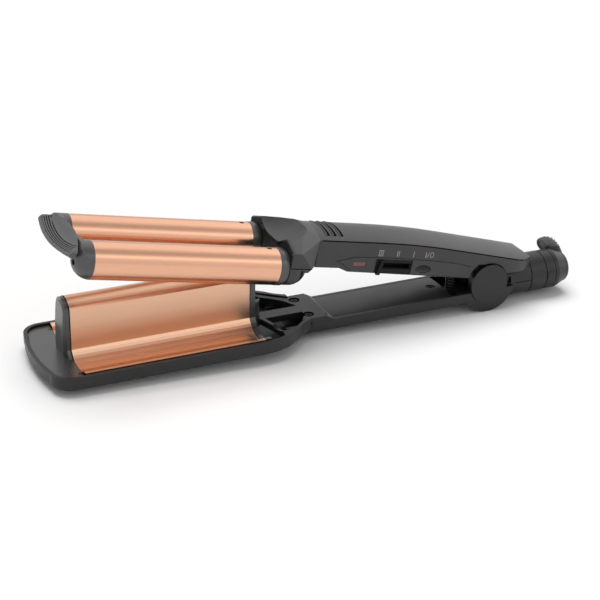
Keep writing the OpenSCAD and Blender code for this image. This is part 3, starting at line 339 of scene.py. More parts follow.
def metal(name, colour, rough):
    """Turned or drawn steel with fine streaks and a painted highlight on its edges."""
    material, g, shader = new_material(name, Metallic=1.0)
    polish = g.shared("polish", Line_Scale=2600.0)
    edges = g.shared("edge", Radius=0.00015)
    tone = g.ramp(polish["Smudge"], (0.3, tint(colour, 0.8)), (0.7, colour))
    # painted highlight: the edges lighter than the rest
    g.link(g.mixed(edges["Edge"], tone, tint(colour, 1.4)), shader.inputs["Base Color"])
    streaks = g.math("MULTIPLY", polish["Lines"], 0.18)
    g.link(g.math("ADD", streaks, rough), shader.inputs["Roughness"])
    g.bump(shader, polish["Lines"], 0.08, 0.00005, edges["Normal"])
    return material


def tinted_lens(name, colour):
    """Translucent tinted lens of the lamp, faintly cloudy inside."""
    material, g, shader = new_material(
        name, Roughness=0.25, Coat_Weight=0.5, Coat_Roughness=0.08, Subsurface_Weight=0.25,
        Subsurface_Radius=(0.002, 0.001, 0.001), Subsurface_Scale=0.5,
    )
    place = g.place()
    cloud = g.noise(place, 900.0, 2.0)
    wave = {"Vector": place, "Scale": 420.0, "Distortion": 0.2}
    ridges = g.add("ShaderNodeTexWave", wave, bands_direction="X").outputs["Fac"]
    g.link(g.ramp(cloud, (0.3, tint(colour, 0.8)), (0.7, colour)), shader.inputs["Base Color"])
    g.bump(shader, ridges, 0.25, 0.0001)
    return material


def dished_plastic(name, colour):
    """Button plastic with a thumb dish: painted shade under its upper lip and a painted lighter
    lower half.
    """
    material, g, shader = new_material(name, Roughness=0.38, Specular_IOR_Level=0.3)
    offset = g.offset(g.place(), upper_point(*BUTTON))
    u, v = (
        g.math("DIVIDE", g.dot(offset, tuple(axis)), half * MM)
        for axis, half in zip((UPPER_ALONG, UPPER_UP), BUTTON_HALF)
    )
    # painted shade and light: darker towards the dish's upper lip, lighter towards its lower edge
    shade = g.math("ADD", g.math("MULTIPLY", v, 0.5), 0.5)
    stops = ((0.12, tint(colour, 3.0)), (0.42, tint(colour, 1.2)), (0.6, tint(colour, 0.2)))
    g.link(g.ramp(shade, *stops), shader.inputs["Base Color"])
    dish = g.math("ADD", g.math("MULTIPLY", u, u), g.math("MULTIPLY", v, v))
    g.bump(shader, dish, 1.0, 0.0006)
    return material


def ceramic(name, colour):
    """Bare sintered ceramic, slightly mottled."""
    material, g, shader = new_material(name, Roughness=0.65)
    mottle = g.noise(g.place(), 300.0, 5.0)
    g.link(g.ramp(mottle, (0.3, tint(colour, 0.9)), (0.7, colour)), shader.inputs["Base Color"])
    g.bump(shader, mottle, 0.2, 0.0001)
    return material


def printed_mark(name, colour):
    """Pad-printed ink, a little uneven."""
    material, g, shader = new_material(name, Roughness=0.6, Specular_IOR_Level=0.3)
    uneven = g.noise(g.place(), 2500.0, 3.0)
    g.link(g.ramp(uneven, (0.35, tint(colour, 0.7)), (0.6, colour)), shader.inputs["Base Color"])
    return material


# ---- mesh helpers ------------------------------------------------------


def placed(name, mesh, material):
    """A new object at the origin with that mesh and material."""
    mesh.materials.clear()
    mesh.materials.append(material)
    piece = bpy.data.objects.new(name, mesh)
    bpy.context.scene.collection.objects.link(piece)
    return piece


def mesh_piece(name, verts, faces, material):
    """A new object at the origin from plain lists."""
    mesh = bpy.data.meshes.new(name)
    mesh.from_pydata([tuple(v) for v in verts], [], faces)
    mesh.update()
    return placed(name, mesh, material)


def outward(piece, smooth=False):
    """Merges doubles, turns every face outwards and shades it flat or smooth."""
    bm = bmesh.new()
    bm.from_mesh(piece.data)
    bmesh.ops.remove_doubles(bm, verts=bm.verts, dist=1e-7)
    bmesh.ops.recalc_face_normals(bm, faces=bm.faces)
    bm.to_mesh(piece.data)
    bm.free()
    for polygon in piece.data.polygons:
        polygon.use_smooth = smooth
    piece.data.update()


def ribbon(points, sides, normals, width, depth=0.05, proud=0.03, closed=False):
    """Vertices and faces of a thin strip along points, laid on the surface, in mm."""
    count = len(points)
    sides, normals = ([v] * count if isinstance(v, Vector) else v for v in (sides, normals))
    verts, faces = [], []
    for p, side, normal in zip(points, sides, normals):
        for across, out in ((-1, proud), (1, proud), (1, -depth), (-1, -depth)):
            verts.append(p + side * (across * width / 2 * MM) + normal * (out * MM))
    for k in range(count if closed else count - 1):
        a, b = 4 * k, 4 * ((k + 1) % count)
        faces.extend((a + j, a + (j + 1) % 4, b + (j + 1) % 4, b + j) for j in range(4))
    if not closed:
        last = 4 * count - 1
        faces.extend([(0, 1, 2, 3), (last, last - 1, last - 2, last - 3)])
    return verts, faces


def strips(name, parts, material):
    """One object from several ribbons."""
    verts, faces = [], []
    for more, polygons in parts:
        faces.extend(tuple(len(verts) + k for k in q) for q in polygons)
        verts.extend(more)
    piece = mesh_piece(name, verts, faces, material)
    outward(piece)
    return piece


def geometry_tree(name, values):
    """A geometry tree with an input for each named value: tree, graph, its inputs, its output."""
    tree = bpy.data.node_groups.new(name, "GeometryNodeTree")
    tree.interface.new_socket(name="Geometry", in_out="OUTPUT", socket_type="NodeSocketGeometry")
    for key, value in values.items():
        kind = {int: "NodeSocketInt", float: FLOAT}.get(type(value), VECTOR)
        tree.interface.new_socket(name=key, in_out="INPUT", socket_type=kind).default_value = value
    g = Graph(tree)
    return tree, g, g.add("NodeGroupInput").outputs, g.add("NodeGroupOutput").inputs[0]


def circle(g, resolution, radius):
    """A circle curve in a geometry tree."""
    values = {"Resolution": resolution, "Radius": radius}
    return g.add("GeometryNodeCurvePrimitiveCircle", values, mode="RADIUS").outputs[0]


def swept(g, curve, profile, capped=True):
    """A profile swept along a curve in a geometry tree."""
    values = {"Curve": curve, "Profile Curve": profile, "Fill Caps": capped}
    return g.add("GeometryNodeCurveToMesh", values).outputs[0]


def finish_tree(g, geometry, material, output):
    """Ends a geometry tree with realized instances and their material."""
    real = g.add("GeometryNodeRealizeInstances", {"Geometry": geometry})
    done = g.add("GeometryNodeSetMaterial", {"Geometry": real.outputs[0], "Material": material})
    g.link(done.outputs[0], output)


def grown(name, tree, values, material):
    """Runs a geometry tree with these named values and returns a plain mesh piece."""
    holder = bpy.data.objects.new(name + "_source", bpy.data.meshes.new(name + "_source"))
    bpy.context.scene.collection.objects.link(holder)
    modifier = holder.modifiers.new("Grow", "NODES")
    modifier.node_group = tree
    for item in tree.interface.items_tree:
        if item.item_type == "SOCKET" and item.in_out == "INPUT":
            modifier[item.identifier] = values[item.name]
    graph = bpy.context.evaluated_depsgraph_get()
    mesh = bpy.data.meshes.new_from_object(holder.evaluated_get(graph), depsgraph=graph)
    bpy.data.objects.remove(holder)
    mesh.name = name
    if not mesh.vertices:
        raise RuntimeError(f"{name} came out empty")
    return placed(name, mesh, material)


# ---- settings ----------------------------------------------------------


def colour_property(name, description, default):
    return bpy.props.FloatVectorProperty(
        name=name, description=description, subtype="COLOR", size=3, min=0.0, max=1.0,
        default=default,
    )


class WaverFinishes(bpy.types.PropertyGroup):
    """Colours of the waver's materials."""

    lower_plastic: colour_property(
        "Lower arm", "Plastic of the tray, lever and neck", (0.012, 0.012, 0.0122)
    )
    upper_plastic: colour_property(
        "Upper arm", "Plastic of the handle and shroud", (0.034, 0.034, 0.0345)
    )
    cap_plastic: colour_property(
        "End caps", "Plastic of the caps beside the hot parts", (0.045, 0.045, 0.046)
    )
    control_plastic: colour_property(
        "Controls", "Slider, button and slider bed", (0.010, 0.010, 0.0105)
    )
    coating: colour_property(
        "Coating", "Rose-gold coating of barrels and plate", (0.76, 0.42, 0.275)
    )
    lamp: colour_property("Lamp", "Tint of the lamp window", (0.17, 0.035, 0.055))
    marks: colour_property("Marks", "Printed temperature marks", (0.42, 0.36, 0.36))


class WaverMarks(bpy.types.PropertyGroup):
    """Sizes of the printed temperature marks."""

    height: bpy.props.FloatProperty(
        name="Height", description="Height of the marks", default=0.0035, min=0.001, max=0.008,
        unit="LENGTH",
    )
    stroke: bpy.props.FloatProperty(
        name="Stroke", description="Width of a stroke", default=0.00045, min=0.0002, max=0.002,
        unit="LENGTH",
    )
    level: bpy.props.FloatProperty(
        name="Level", description="Height of the marks on the closed handle", default=0.0312,
        unit="LENGTH",
    )


class WaverSeams(bpy.types.PropertyGroup):
    """Painted shadow laid in the gaps between the mouldings."""

    # colour of the painted shadow strips in the gaps and vents
    tone: colour_property("Seam tone", "Colour of the gaps and vents", (0.004, 0.004, 0.004))
    width: bpy.props.FloatProperty(
        name="Seam width", description="Width of the gaps", default=0.00055, min=0.0001, max=0.001,
        unit="LENGTH",
    )


class WaverBoot(bpy.types.PropertyGroup):
    """Ribbed boot of the cord outlet."""

    rubber: colour_property("Rubber", "Colour of the boot", (0.085, 0.085, 0.086))
    outlet_x: bpy.props.FloatProperty(
        name="Outlet", description="Place of the boot along the neck", default=0.2876, unit="LENGTH"
    )
    ribs: bpy.props.IntProperty(
        name="Ribs", description="Number of ribs", default=12, min=4, max=24
    )
    rib_radius: bpy.props.FloatProperty(
        name="Rib radius", description="Radius of a rib's middle", default=0.0037, unit="LENGTH"
    )
    rib_thickness: bpy.props.FloatProperty(
        name="Rib thickness", description="Radius of a rib's section", default=0.00085,
        unit="LENGTH",
    )
    core_radius: bpy.props.FloatProperty(
        name="Core radius", description="Radius between the ribs", default=0.0040, unit="LENGTH"
    )


class WaverSpring(bpy.types.PropertyGroup):
    """Sizes of the spring that opens the arms."""

    coil_radius: bpy.props.FloatProperty(
        name="Coil radius", description="Mean radius of the coil", default=0.0026, unit="LENGTH"
    )
    wire_radius: bpy.props.FloatProperty(
        name="Wire radius", description="Radius of the wire", default=0.00045, unit="LENGTH"
    )
    length: bpy.props.FloatProperty(
        name="Length", description="Length between the seats at rest", default=0.0167, unit="LENGTH"
    )
    turns: bpy.props.FloatProperty(
        name="Turns", description="Number of turns", default=8.0, min=3.0, max=14.0
    )


class WaverStage(bpy.types.PropertyGroup):
    """Studio floor, light and camera."""

    floor_tone: bpy.props.FloatProperty(
        name="Floor tone", description="Reflectance of the floor", default=0.96, min=0.2, max=1.0
    )
    top_light: bpy.props.FloatProperty(
        name="Top light", description="Strength of the overhead soft light", default=2.15, min=0.0
    )
    top_spread: bpy.props.FloatProperty(
        name="Top spread", description="Width of the overhead light", default=math.radians(46.0),
        subtype="ANGLE",
    )
    fill: bpy.props.FloatProperty(
        name="Fill", description="Even light, most of it from the front", default=0.45,
        min=0.0, max=2.0,
    )
    side_boost: bpy.props.FloatProperty(
        name="Side boost", description="Extra reflected light past the rear end", default=0.6,
        min=0.0,
    )
    azimuth: bpy.props.FloatProperty(
        name="Azimuth", description="Camera direction round the object",
        default=math.radians(-24.572), unit="ROTATION",
    )
    elevation: bpy.props.FloatProperty(
        name="Elevation", description="Camera height angle", default=math.radians(25.218),
        unit="ROTATION",
    )
    roll: bpy.props.FloatProperty(
        name="Roll", description="Camera roll", default=math.radians(0.885), unit="ROTATION"
    )
    lens: bpy.props.FloatProperty(
        name="Lens", description="Focal length in millimetres for a 36 mm sensor", default=97.953,
        min=20.0,
    )


SETTINGS = {
    "waver_finishes": WaverFinishes,
    "waver_marks": WaverMarks,
    "waver_seams": WaverSeams,
    "waver_boot": WaverBoot,
    "waver_spring": WaverSpring,
    "waver_stage": WaverStage,
}

LOWER_PLASTIC = (
    "lower_shell", "lower_cover", "neck_cover", "neck_collar", "hinge_cap_near", "hinge_cap_far",
    "spring_post", "swivel_drum", "swivel_cap", "swivel_key",
)
UPPER_PLASTIC = ("handle_shell", "control_panel")
SHROUD_PLASTIC = ("top_shell", "shroud_base")
CAP_PLASTIC = (
    "plate_front_cap", "plate_rear_cap", "tip_frame", "thumb_tab", "collar_near", "collar_far",
)
BRIGHT_STEEL = ("hinge_pin", "heater_clip")
DARK_STEEL = ("deck_screws", "lever_screws", "barrel_screws", "tip_screws")
HEATERS = ("plate_heater", "barrel_heaters")
BARRELS = ("barrel_near", "barrel_far")
CONTROLS = ("slider_track", "temp_slider", "switch_bodies")


def finish_nodes(names, material):
    """Gives each named CAD node that material in all its slots."""
    for name in names:
        slots = NODES[name].data.materials
        if not slots:
            slots.append(material)
        for i in range(len(slots)):
            slots[i] = material


# ---- operators ---------------------------------------------------------


class WAVER_OT_plastics(bpy.types.Operator):
    """Finish the moulded shells, covers and caps"""

    bl_idname = "waver.plastics"
    bl_label = "Finish plastics"

    def execute(self, context):
        s = context.scene.waver_finishes
        lower, upper = tuple(s.lower_plastic), tuple(s.upper_plastic)
        caps, controls = tuple(s.cap_plastic), tuple(s.control_plastic)
        arm = moulded_plastic("lower_arm_plastic", lower, 0.40, edge=0.00015, lift=1.0)
        finish_nodes(LOWER_PLASTIC, arm)
        finish_nodes(UPPER_PLASTIC, moulded_plastic("upper_arm_plastic", upper, 0.40, lift=1.3))
        shroud = moulded_plastic("shroud_plastic", upper, 0.40, lift=1.3)
        finish_nodes(SHROUD_PLASTIC, shade_hollow(shroud))
        finish_nodes(CAP_PLASTIC, moulded_plastic("cap_plastic", caps, 0.30, specular=0.75))
        dull = moulded_plastic("control_plastic", controls, 0.52, depth=0.05, specular=0.16)
        finish_nodes(CONTROLS, dull)
        finish_nodes(("power_button",), dished_plastic("button_plastic", controls))
        finish_nodes(("circuit_board",), moulded_plastic("board_lacquer", (0.03, 0.12, 0.05), 0.3))
        return {"FINISHED"}


class WAVER_OT_coating(bpy.types.Operator):
    """Finish the rose-gold coated barrels and wave plate"""

    bl_idname = "waver.coating"
    bl_label = "Finish coated metal"

    def execute(self, context):
        red, green, blue = context.scene.waver_finishes.coating
        finish_nodes(BARRELS, rose_coating("barrel_coating", (red, green, blue), 0.22))
        # the plate lights itself between its ridge and valleys, which deepens its colour
        paler = (red, green * 1.11, blue * 1.14)
        finish_nodes(("wave_plate",), rose_coating("plate_coating", paler, 0.33))
        return {"FINISHED"}


class WAVER_OT_metals(bpy.types.Operator):
    """Finish the screws, pin and clips, heaters and lamp"""

    bl_idname = "waver.metals"
    bl_label = "Finish metal and lamp"

    def execute(self, context):
        s = context.scene.waver_finishes
        finish_nodes(BRIGHT_STEEL, metal("zinc_steel", (0.33, 0.33, 0.34), 0.28))
        finish_nodes(DARK_STEEL, metal("black_steel", (0.022, 0.021, 0.020), 0.35))
        finish_nodes(HEATERS, ceramic("heater_ceramic", (0.78, 0.75, 0.68)))
        finish_nodes(("lamp_lens",), tinted_lens("lamp_tint", tuple(s.lamp)))
        return {"FINISHED"}


class WAVER_OT_marks(bpy.types.Operator):
    """Print the temperature marks above the slider"""

    bl_idname = "waver.marks"
    bl_label = "Print marks"

    def execute(self, context):
        s = context.scene.waver_marks
        level, thick = s.level / MM, s.stroke / MM
        low, high = level - s.height / MM / 2, level + s.height / MM / 2
        verts, faces = [], []

        def stroke(x0, z0, x1, z1, width=thick):
            """A flat bar between two points of the handle's side, in mm."""
            along = Vector((x1 - x0, z1 - z0)).normalized()
            side = Vector((-along.y, along.x)) * width / 2
            corners = [
                (x0 + side.x, z0 + side.y), (x0 - side.x, z0 - side.y),
                (x1 - side.x, z1 - side.y), (x1 + side.x, z1 + side.y),
            ]
            first = len(verts)
            for depth in (HANDLE_SIDE - 0.06, HANDLE_SIDE + 0.02):
                verts.extend(upper_point(x, depth, z) for x, z in corners)
            faces.extend([(first, first + 1, first + 2, first + 3)])
            faces.extend([(first + 7, first + 6, first + 5, first + 4)])
            for k in range(4):
                a, b = first + k, first + (k + 1) % 4
                faces.append((a, a + 4, b + 4, b))

        # three heats, the highest with bars across its ends, then on and off
        pitch, overhang = 1.25, 0.55
        for x, bars in ((142.7, 3), (154.6, 2), (165.5, 1)):
            half = (bars - 1) / 2 * pitch
            for k in range(bars):
                stroke(x - half + k * pitch, low, x - half + k * pitch, high)
            if bars > 2:
                for z in (low, high):
                    stroke(x - half - overhang, z, x + half + overhang, z, thick * 0.7)
        stroke(174.2, low, 174.2, high)
        stroke(175.0, low - 0.2, 176.4, high + 0.2, thick * 0.8)
        ring = [
            (178.4 + 1.05 * math.cos(a), level + (high - level) * 0.98 * math.sin(a))
            for a in (2 * math.pi * k / 20 for k in range(20))
        ]
        for start, end in zip(ring, ring[1:] + ring[:1]):
            stroke(*start, *end, thick * 0.85)
        ink = printed_mark("mark_ink", tuple(context.scene.waver_finishes.marks))
        piece = mesh_piece("temperature_marks", verts, faces, ink)
        outward(piece)
        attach(piece, "upper_arm")
        return {"FINISHED"}


class WAVER_OT_seams(bpy.types.Operator):
    """Lay dark strips as painted shadow in the gaps between the mouldings and in the vents"""

    bl_idname = "waver.seams"
    bl_label = "Draw seams"

    def execute(self, context):
        s = context.scene.waver_seams
        width = s.width / MM
        dark = moulded_plastic(
            "seam_shadow", tuple(s.tone), 0.9, depth=0.03, edge=0.0001, specular=0.0
        )
        # painted shadow: every strip below is a dark sheet laid where a gap, vent or screw recess
        # is in shade
        around = [self.ring(x, wide) for x, wide in NECK_JOINTS]
        around += self.neck_seams(width * 0.8) + [self.screw_ring(*c) for c in DECK_SCREWS]
        ends = [self.end_gap("wave_plate", x, 0.65) for x in PLATE_ENDS]
        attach(strips("handle_seam_shadows", self.arm_seams(width), dark), "upper_arm")
        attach(strips("neck_ring_shadows", around, dark), "lower_arm")
        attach(strips("plate_gap_shadows", ends, dark), "lower_arm")
        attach(strips("cap_ring_shadow", [self.ring(*CAP_JOINT)], dark), "cord_swivel")
        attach(strips("vent_shadows", [self.vent(x) for x in VENTS], dark), "upper_arm")
        return {"FINISHED"}

    def arm_seams(self, width):
        """Painted shadow strips along the parting lines of the handle and the shroud, on both
        sides.
        """
        steps, below = 36, 0.3
        parts = []
        for m in (-1, 1):
            out = Vector((0, m, 0))
            points = []
            for k in range(steps + 1):
                x = HANDLE_SEAM[0] + k * (HANDLE_SEAM[1] - HANDLE_SEAM[0]) / steps
                # the wall is met just below the slit between the shells
                wall = self.side_hit(upper_point(x, m * 60, self.parting(x) - below), -out)
                if wall is not None:
                    points.append(wall + UPPER_UP * (below * MM))
            parts.append(ribbon(points, UPPER_UP, out, width * 1.15, depth=0.3, proud=0.09))
            places, half, height = SHROUD_SEAM
            points = [upper_point(x, m * half, height) for x in places]
            parts.append(ribbon(points, UPPER_UP, out, width * 0.9))
        return parts

    @staticmethod
    def parting(x):
        """Height of the handle's parting line on the closed handle."""
        for (xa, za), (xb, zb) in zip(HANDLE_PARTING, HANDLE_PARTING[1:]):
            if x <= xb:
                return za + (zb - za) * max(0.0, x - xa) / (xb - xa)
        return HANDLE_PARTING[-1][1]

    @staticmethod
    def side_hit(start, heading):
        """Nearest place on the handle's wall along a ray."""
        found = [NODES[n].ray_cast(start, heading) for n in ("handle_shell", "top_shell")]
        places = [place for hit, place, _, _ in found if hit]
        return min(places, key=lambda p: (p - start).length) if places else None

    @staticmethod
    def neck_seams(width):
        """Painted shadow strips along the parting lines of the neck and the cap, at the height of
        the neck's axis.
        """
        steps = 6
        return [
            ribbon(
                [lower_point(xa + (xb - xa) * k / steps, m * NECK_RADIUS, NECK_HEIGHT)
                 for k in range(steps + 1)],
                LOWER_UP, Vector((0, m, 0)), width,
            )
            for m in (-1, 1) for xa, xb in NECK_SEAMS
        ]

    @staticmethod
    def screw_ring(x, y, z):
        """Painted shadow round the head of a deck screw."""
        radius, width, count = 2.95, 0.9, 48
        angles = [2 * math.pi * k / count for k in range(count)]
        spokes = [(math.cos(a), math.sin(a)) for a in angles]
        points = [lower_point(x + radius * c, y + radius * s, z) for c, s in spokes]
        sides = [direction(lower_point, c, s, 0) for c, s in spokes]
        return ribbon(points, sides, LOWER_UP, width, closed=True)

    @staticmethod
    def ring(x, width):
        """A painted shadow ring round the neck at that length."""
        count = 96
        centre = lower_point(x, 0, NECK_HEIGHT)
        angles = [2 * math.pi * k / count for k in range(count)]
        points = [
            lower_point(x, NECK_RADIUS * math.cos(a), NECK_HEIGHT + NECK_RADIUS * math.sin(a))
            for a in angles
        ]
        normals = [(p - centre).normalized() for p in points]
        return ribbon(points, LOWER_ALONG, normals, width, closed=True)

    @staticmethod
    def end_gap(name, x, width):
        """A painted shadow strip round the outline of a node's end at that length of the lower arm.
        """
        end = lower_point(x, 0, 0)
        bm = bmesh.new()
        bm.from_mesh(NODES[name].data)
        bmesh.ops.remove_doubles(bm, verts=bm.verts, dist=1e-6)
        bm.normal_update()

        def walls(part):
            """The faces at that edge or vertex that run lengthwise."""
            return [f for f in part.link_faces if abs(f.normal.dot(LOWER_ALONG)) < 0.5]

        beside = {}
        for e in bm.edges:
            if walls(e) and all(abs((v.co - end).dot(LOWER_ALONG)) < 2e-5 for v in e.verts):
                a, b = e.verts
                beside.setdefault(a, []).append(b)
                beside.setdefault(b, []).append(a)
        path, last = [min(beside, key=lambda v: v.index)], None
        while True:
            step = next(v for v in beside[path[-1]] if v != last)
            if step == path[0]:
                break
            last = path[-1]
            path.append(step)
        points = [v.co.copy() for v in path]
        normals = [sum((f.normal for f in walls(v)), Vector()).normalized() for v in path]
        bm.free()
        return ribbon(points, LOWER_ALONG, normals, width, closed=True)

    @staticmethod
    def vent(x):
        """A dark strip laid in a vent slot as its painted shadow, as high as the crown just behind
        the slot.
        """
        steps, behind = 24, 1.15
        near, far = VENT_SPAN
        back = upper_point(behind, 0, 0) - upper_point(0, 0, 0)
        points, normals = [], []
        for k in range(steps + 1):
            above = upper_point(x + behind, near + k * (far - near) / steps, 60)
            hit, place, normal, _ = NODES["top_shell"].ray_cast(above, -UPPER_UP)
            if hit:
                points.append(place - back)
                normals.append(normal)
        return ribbon(points, UPPER_ALONG, normals, 2.1, depth=0.3, proud=0.05)


class WAVER_OT_boot(bpy.types.Operator):
    """Grow the ribbed boot of the cord outlet"""

    bl_idname = "waver.boot"
    bl_label = "Grow boot"

    def execute(self, context):
        s = context.scene.waver_boot
        outlet = lower_point(s.outlet_x / MM, 0.0, NECK_HEIGHT)
        tilt = math.radians(-42.0)
        away = LOWER_TURN @ Vector((0.0, -math.sin(tilt), math.cos(tilt)))

        def at(along, out):
            """A place so far along the neck and out of it from the outlet, in mm."""
            return outlet + LOWER_ALONG * (along * MM) + away * (out * MM)

        values = {
            "Start": at(0.0, 7.2), "Start Handle": at(0.0, 13.6),
            "End Handle": at(-1.8, 18.3), "End": at(-7.7, 16.2),
            "Ribs": s.ribs, "Rib Radius": s.rib_radius, "Rib Thickness": s.rib_thickness,
            "Core Radius": s.core_radius,
        }
        tree, g, given, output = geometry_tree("Ribbed Boot", values)
        bend = {key: given[key] for key in ("Start", "Start Handle", "End Handle", "End")}
        curve = g.add("GeometryNodeCurvePrimitiveBezierSegment", {"Resolution": 40, **bend})
        path = curve.outputs[0]
        tube = swept(g, path, circle(g, 40, given["Core Radius"]))
        places = g.add(
            "GeometryNodeResampleCurve", {"Curve": path, "Count": given["Ribs"]}, mode="COUNT"
        )
        loop, section = circle(g, 40, given["Rib Radius"]), circle(g, 12, given["Rib Thickness"])
        tangent = g.add("GeometryNodeInputTangent").outputs[0]
        turn = g.add("FunctionNodeAlignRotationToVector", {"Vector": tangent}, axis="Z")
        ribs = g.add("GeometryNodeInstanceOnPoints", {
            "Points": places.outputs[0], "Instance": swept(g, loop, section, capped=False),
            "Rotation": turn.outputs[0],
        })
        both = g.add("GeometryNodeJoinGeometry")
        g.link(tube, both.inputs[0])
        g.link(ribs.outputs[0], both.inputs[0])
        rubber = moulded_plastic("sleeve_rubber", tuple(s.rubber), 0.36, depth=0.05, edge=0.0002)
        finish_tree(g, both.outputs[0], rubber, output)
        piece = grown("cord_boot", tree, values, rubber)
        outward(piece, smooth=True)
        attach(piece, "cord_swivel")
        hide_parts("strain_relief")
        return {"FINISHED"}


class WAVER_OT_spring(bpy.types.Operator):
    """Wind the coil spring that opens the arms"""

    bl_idname = "waver.spring"
    bl_label = "Wind spring"

    def execute(self, context):
        s = context.scene.waver_spring
        values = {
            "Coil Radius": s.coil_radius, "Wire Radius": s.wire_radius,
            "Length": s.length - 2 * s.wire_radius, "Turns": s.turns,
        }
        tree, g, given, output = geometry_tree("Coil Spring", values)
        spiral = g.add("GeometryNodeCurveSpiral", {
            "Resolution": 36, "Rotations": given["Turns"], "Start Radius": given["Coil Radius"],
            "End Radius": given["Coil Radius"], "Height": given["Length"],
        })
        wire = swept(g, spiral.outputs[0], circle(g, 12, given["Wire Radius"]))
        steel = metal("spring_wire", (0.07, 0.07, 0.072), 0.3)
        finish_tree(g, wire, steel, output)
        piece = grown("opening_spring", tree, values, steel)
        x, y, z = SPRING_SEAT
        foot = lower_point(x, y, z + s.wire_radius / MM)
        piece.data.transform(Matrix.Translation(foot) @ LOWER_TURN.to_4x4())
        outward(piece, smooth=True)
        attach(piece, "lower_arm")
        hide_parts("return_spring")
        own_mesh(piece)
        return {"FINISHED"}


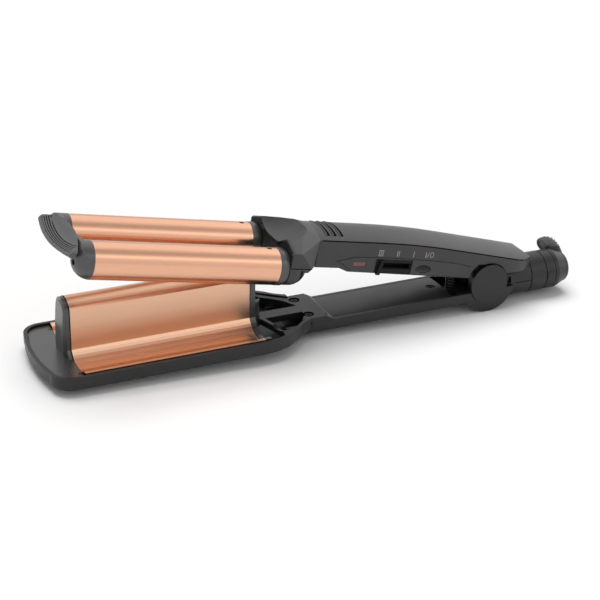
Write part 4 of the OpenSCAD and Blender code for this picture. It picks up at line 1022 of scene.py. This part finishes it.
class WAVER_OT_stage(bpy.types.Operator):
    """Set up the floor, soft studio light and camera"""

    bl_idname = "waver.stage"
    bl_label = "Set stage"

    # levels by direction round the length of the object, from behind (0) over the top (0.5)
    # to the front (1): what gloss reflects, and what lights the rest
    TENT = (
        (0.0, 0.88), (0.12, 0.92), (0.175, 1.05), (0.205, 1.50), (0.25, 1.50), (0.30, 0.85),
        (0.36, 0.58), (0.44, 0.58), (0.51, 0.85), (0.59, 1.18), (0.80, 1.22), (0.86, 0.90),
        (0.92, 0.72), (1.0, 0.76),
    )
    FILL = ((0.0, 1.8), (0.25, 1.45), (0.5, 0.85), (0.75, 0.45), (1.0, 0.45))

    def execute(self, context):
        s = context.scene.waver_stage
        scene = context.scene
        scene.view_settings.view_transform = "Standard"
        self.floor(s)
        self.world(scene, s)
        self.light(scene, s)
        self.camera(scene, s)
        return {"FINISHED"}

    def floor(self, s):
        """A wide pale floor with a faint paper grain."""
        half, level = 6.0, -0.0002
        material, g, shader = new_material("studio_floor", Roughness=0.9, Specular_IOR_Level=0.0)
        tone = (s.floor_tone,) * 3
        paper = g.ramp(g.noise(g.place(), 160.0, 2.0), (0.3, tint(tone, 0.995)), (0.7, tone))
        g.link(paper, shader.inputs["Base Color"])
        corners = ((-half, -half), (half, -half), (half, half), (-half, half))
        verts = [(x, y, level) for x, y in corners]
        mesh_piece("studio_floor", verts, [(0, 1, 2, 3)], material)

    def world(self, scene, s):
        """White to the camera, a tent with darker gaps to reflections, a plain fill to the rest."""
        world = bpy.data.worlds.new("studio")
        scene.world = world
        world.use_nodes = True
        world.node_tree.nodes.clear()
        g = Graph(world.node_tree)
        place = g.add("ShaderNodeTexCoord").outputs["Generated"]
        x, y, z = g.add("ShaderNodeSeparateXYZ", {0: place}).outputs
        angle = g.math("DIVIDE", g.math("ARCTAN2", z, g.math("MULTIPLY", y, -1.0)), math.pi)
        # brighter past the rear end, where only the up-facing plastics reflect it
        side = g.add("ShaderNodeMapRange", {0: x, 1: 0.56, 2: 0.66, 3: 1.0, 4: 1.0 + s.side_boost})

        def glow(colour, strength):
            return g.add("ShaderNodeBackground", {"Color": colour, "Strength": strength}).outputs[0]

        def either(ray, other, seen):
            """One shader for rays of that kind and another for the rest."""
            return g.add("ShaderNodeMixShader", {0: rays[ray], 1: other, 2: seen}).outputs[0]

        rays = g.add("ShaderNodeLightPath").outputs
        tent = glow(g.ramp(angle, *self.TENT), side.outputs[0])
        shown = either("Is Glossy Ray", glow(g.ramp(angle, *self.FILL), s.fill), tent)
        seen = either("Is Camera Ray", shown, glow((1.0, 1.0, 1.0, 1.0), 1.0))
        g.link(seen, g.add("ShaderNodeOutputWorld").inputs[0])

    def light(self, scene, s):
        """One very soft light, even over the whole floor, from above and a little to one side."""
        lamp = bpy.data.lights.new("overhead", "SUN")
        lamp.energy, lamp.angle = s.top_light, s.top_spread
        holder = bpy.data.objects.new("overhead", lamp)
        scene.collection.objects.link(holder)
        holder.rotation_euler = (math.radians(-16.0), 0.0, 0.0)
        holder.visible_camera = False
        holder.visible_glossy = False

    def camera(self, scene, s):
        """The camera, turned with the resting pitch of the lower arm."""
        data = bpy.data.cameras.new("view")
        data.sensor_fit, data.sensor_width, data.lens = "HORIZONTAL", 36.0, s.lens
        data.clip_start, data.clip_end = 0.05, 40.0
        a, e = s.azimuth, s.elevation
        back = Vector((math.sin(a) * math.cos(e), -math.cos(a) * math.cos(e), math.sin(e)))
        right = Vector((math.cos(a), math.sin(a), 0.0))
        up = back.cross(right)
        right, up = (
            right * math.cos(s.roll) + up * math.sin(s.roll),
            up * math.cos(s.roll) - right * math.sin(s.roll),
        )
        axes = Matrix([LOWER_TURN @ axis for axis in (right, up, back)]).transposed()
        holder = bpy.data.objects.new("view", data)
        scene.collection.objects.link(holder)
        holder.matrix_world = Matrix.Translation(lower_point(*CAMERA_PLACE)) @ axes.to_4x4()
        scene.camera = holder


class WAVER_PT_panel(bpy.types.Panel):
    """Sidebar panel listing the waver's settings and its operators"""

    bl_label = "Hair Waver"
    bl_idname = "WAVER_PT_panel"
    bl_space_type = "VIEW_3D"
    bl_region_type = "UI"
    bl_category = "Hair Waver"

    def draw(self, context):
        for key, kind in SETTINGS.items():
            box = self.layout.box()
            box.label(text=kind.__doc__)
            for name in kind.__annotations__:
                box.prop(getattr(context.scene, key), name)
        for operator in OPERATORS:
            self.layout.operator(operator.bl_idname)


OPERATORS = (
    WAVER_OT_plastics, WAVER_OT_coating, WAVER_OT_metals, WAVER_OT_marks, WAVER_OT_seams,
    WAVER_OT_boot, WAVER_OT_spring, WAVER_OT_stage,
)
CLASSES = (*SETTINGS.values(), *OPERATORS, WAVER_PT_panel)


def register():
    for kind in CLASSES:
        bpy.utils.register_class(kind)
    for key, kind in SETTINGS.items():
        setattr(bpy.types.Scene, key, bpy.props.PointerProperty(type=kind))


def unregister():
    for key in SETTINGS:
        delattr(bpy.types.Scene, key)
    for kind in reversed(CLASSES):
        bpy.utils.unregister_class(kind)


def main():
    register()
    bpy.ops.waver.plastics()
    bpy.ops.waver.coating()
    bpy.ops.waver.metals()
    bpy.ops.waver.marks()
    bpy.ops.waver.seams()
    bpy.ops.waver.boot()
    bpy.ops.waver.spring()
    bpy.ops.waver.stage()


if __name__ == "__main__":
    main()
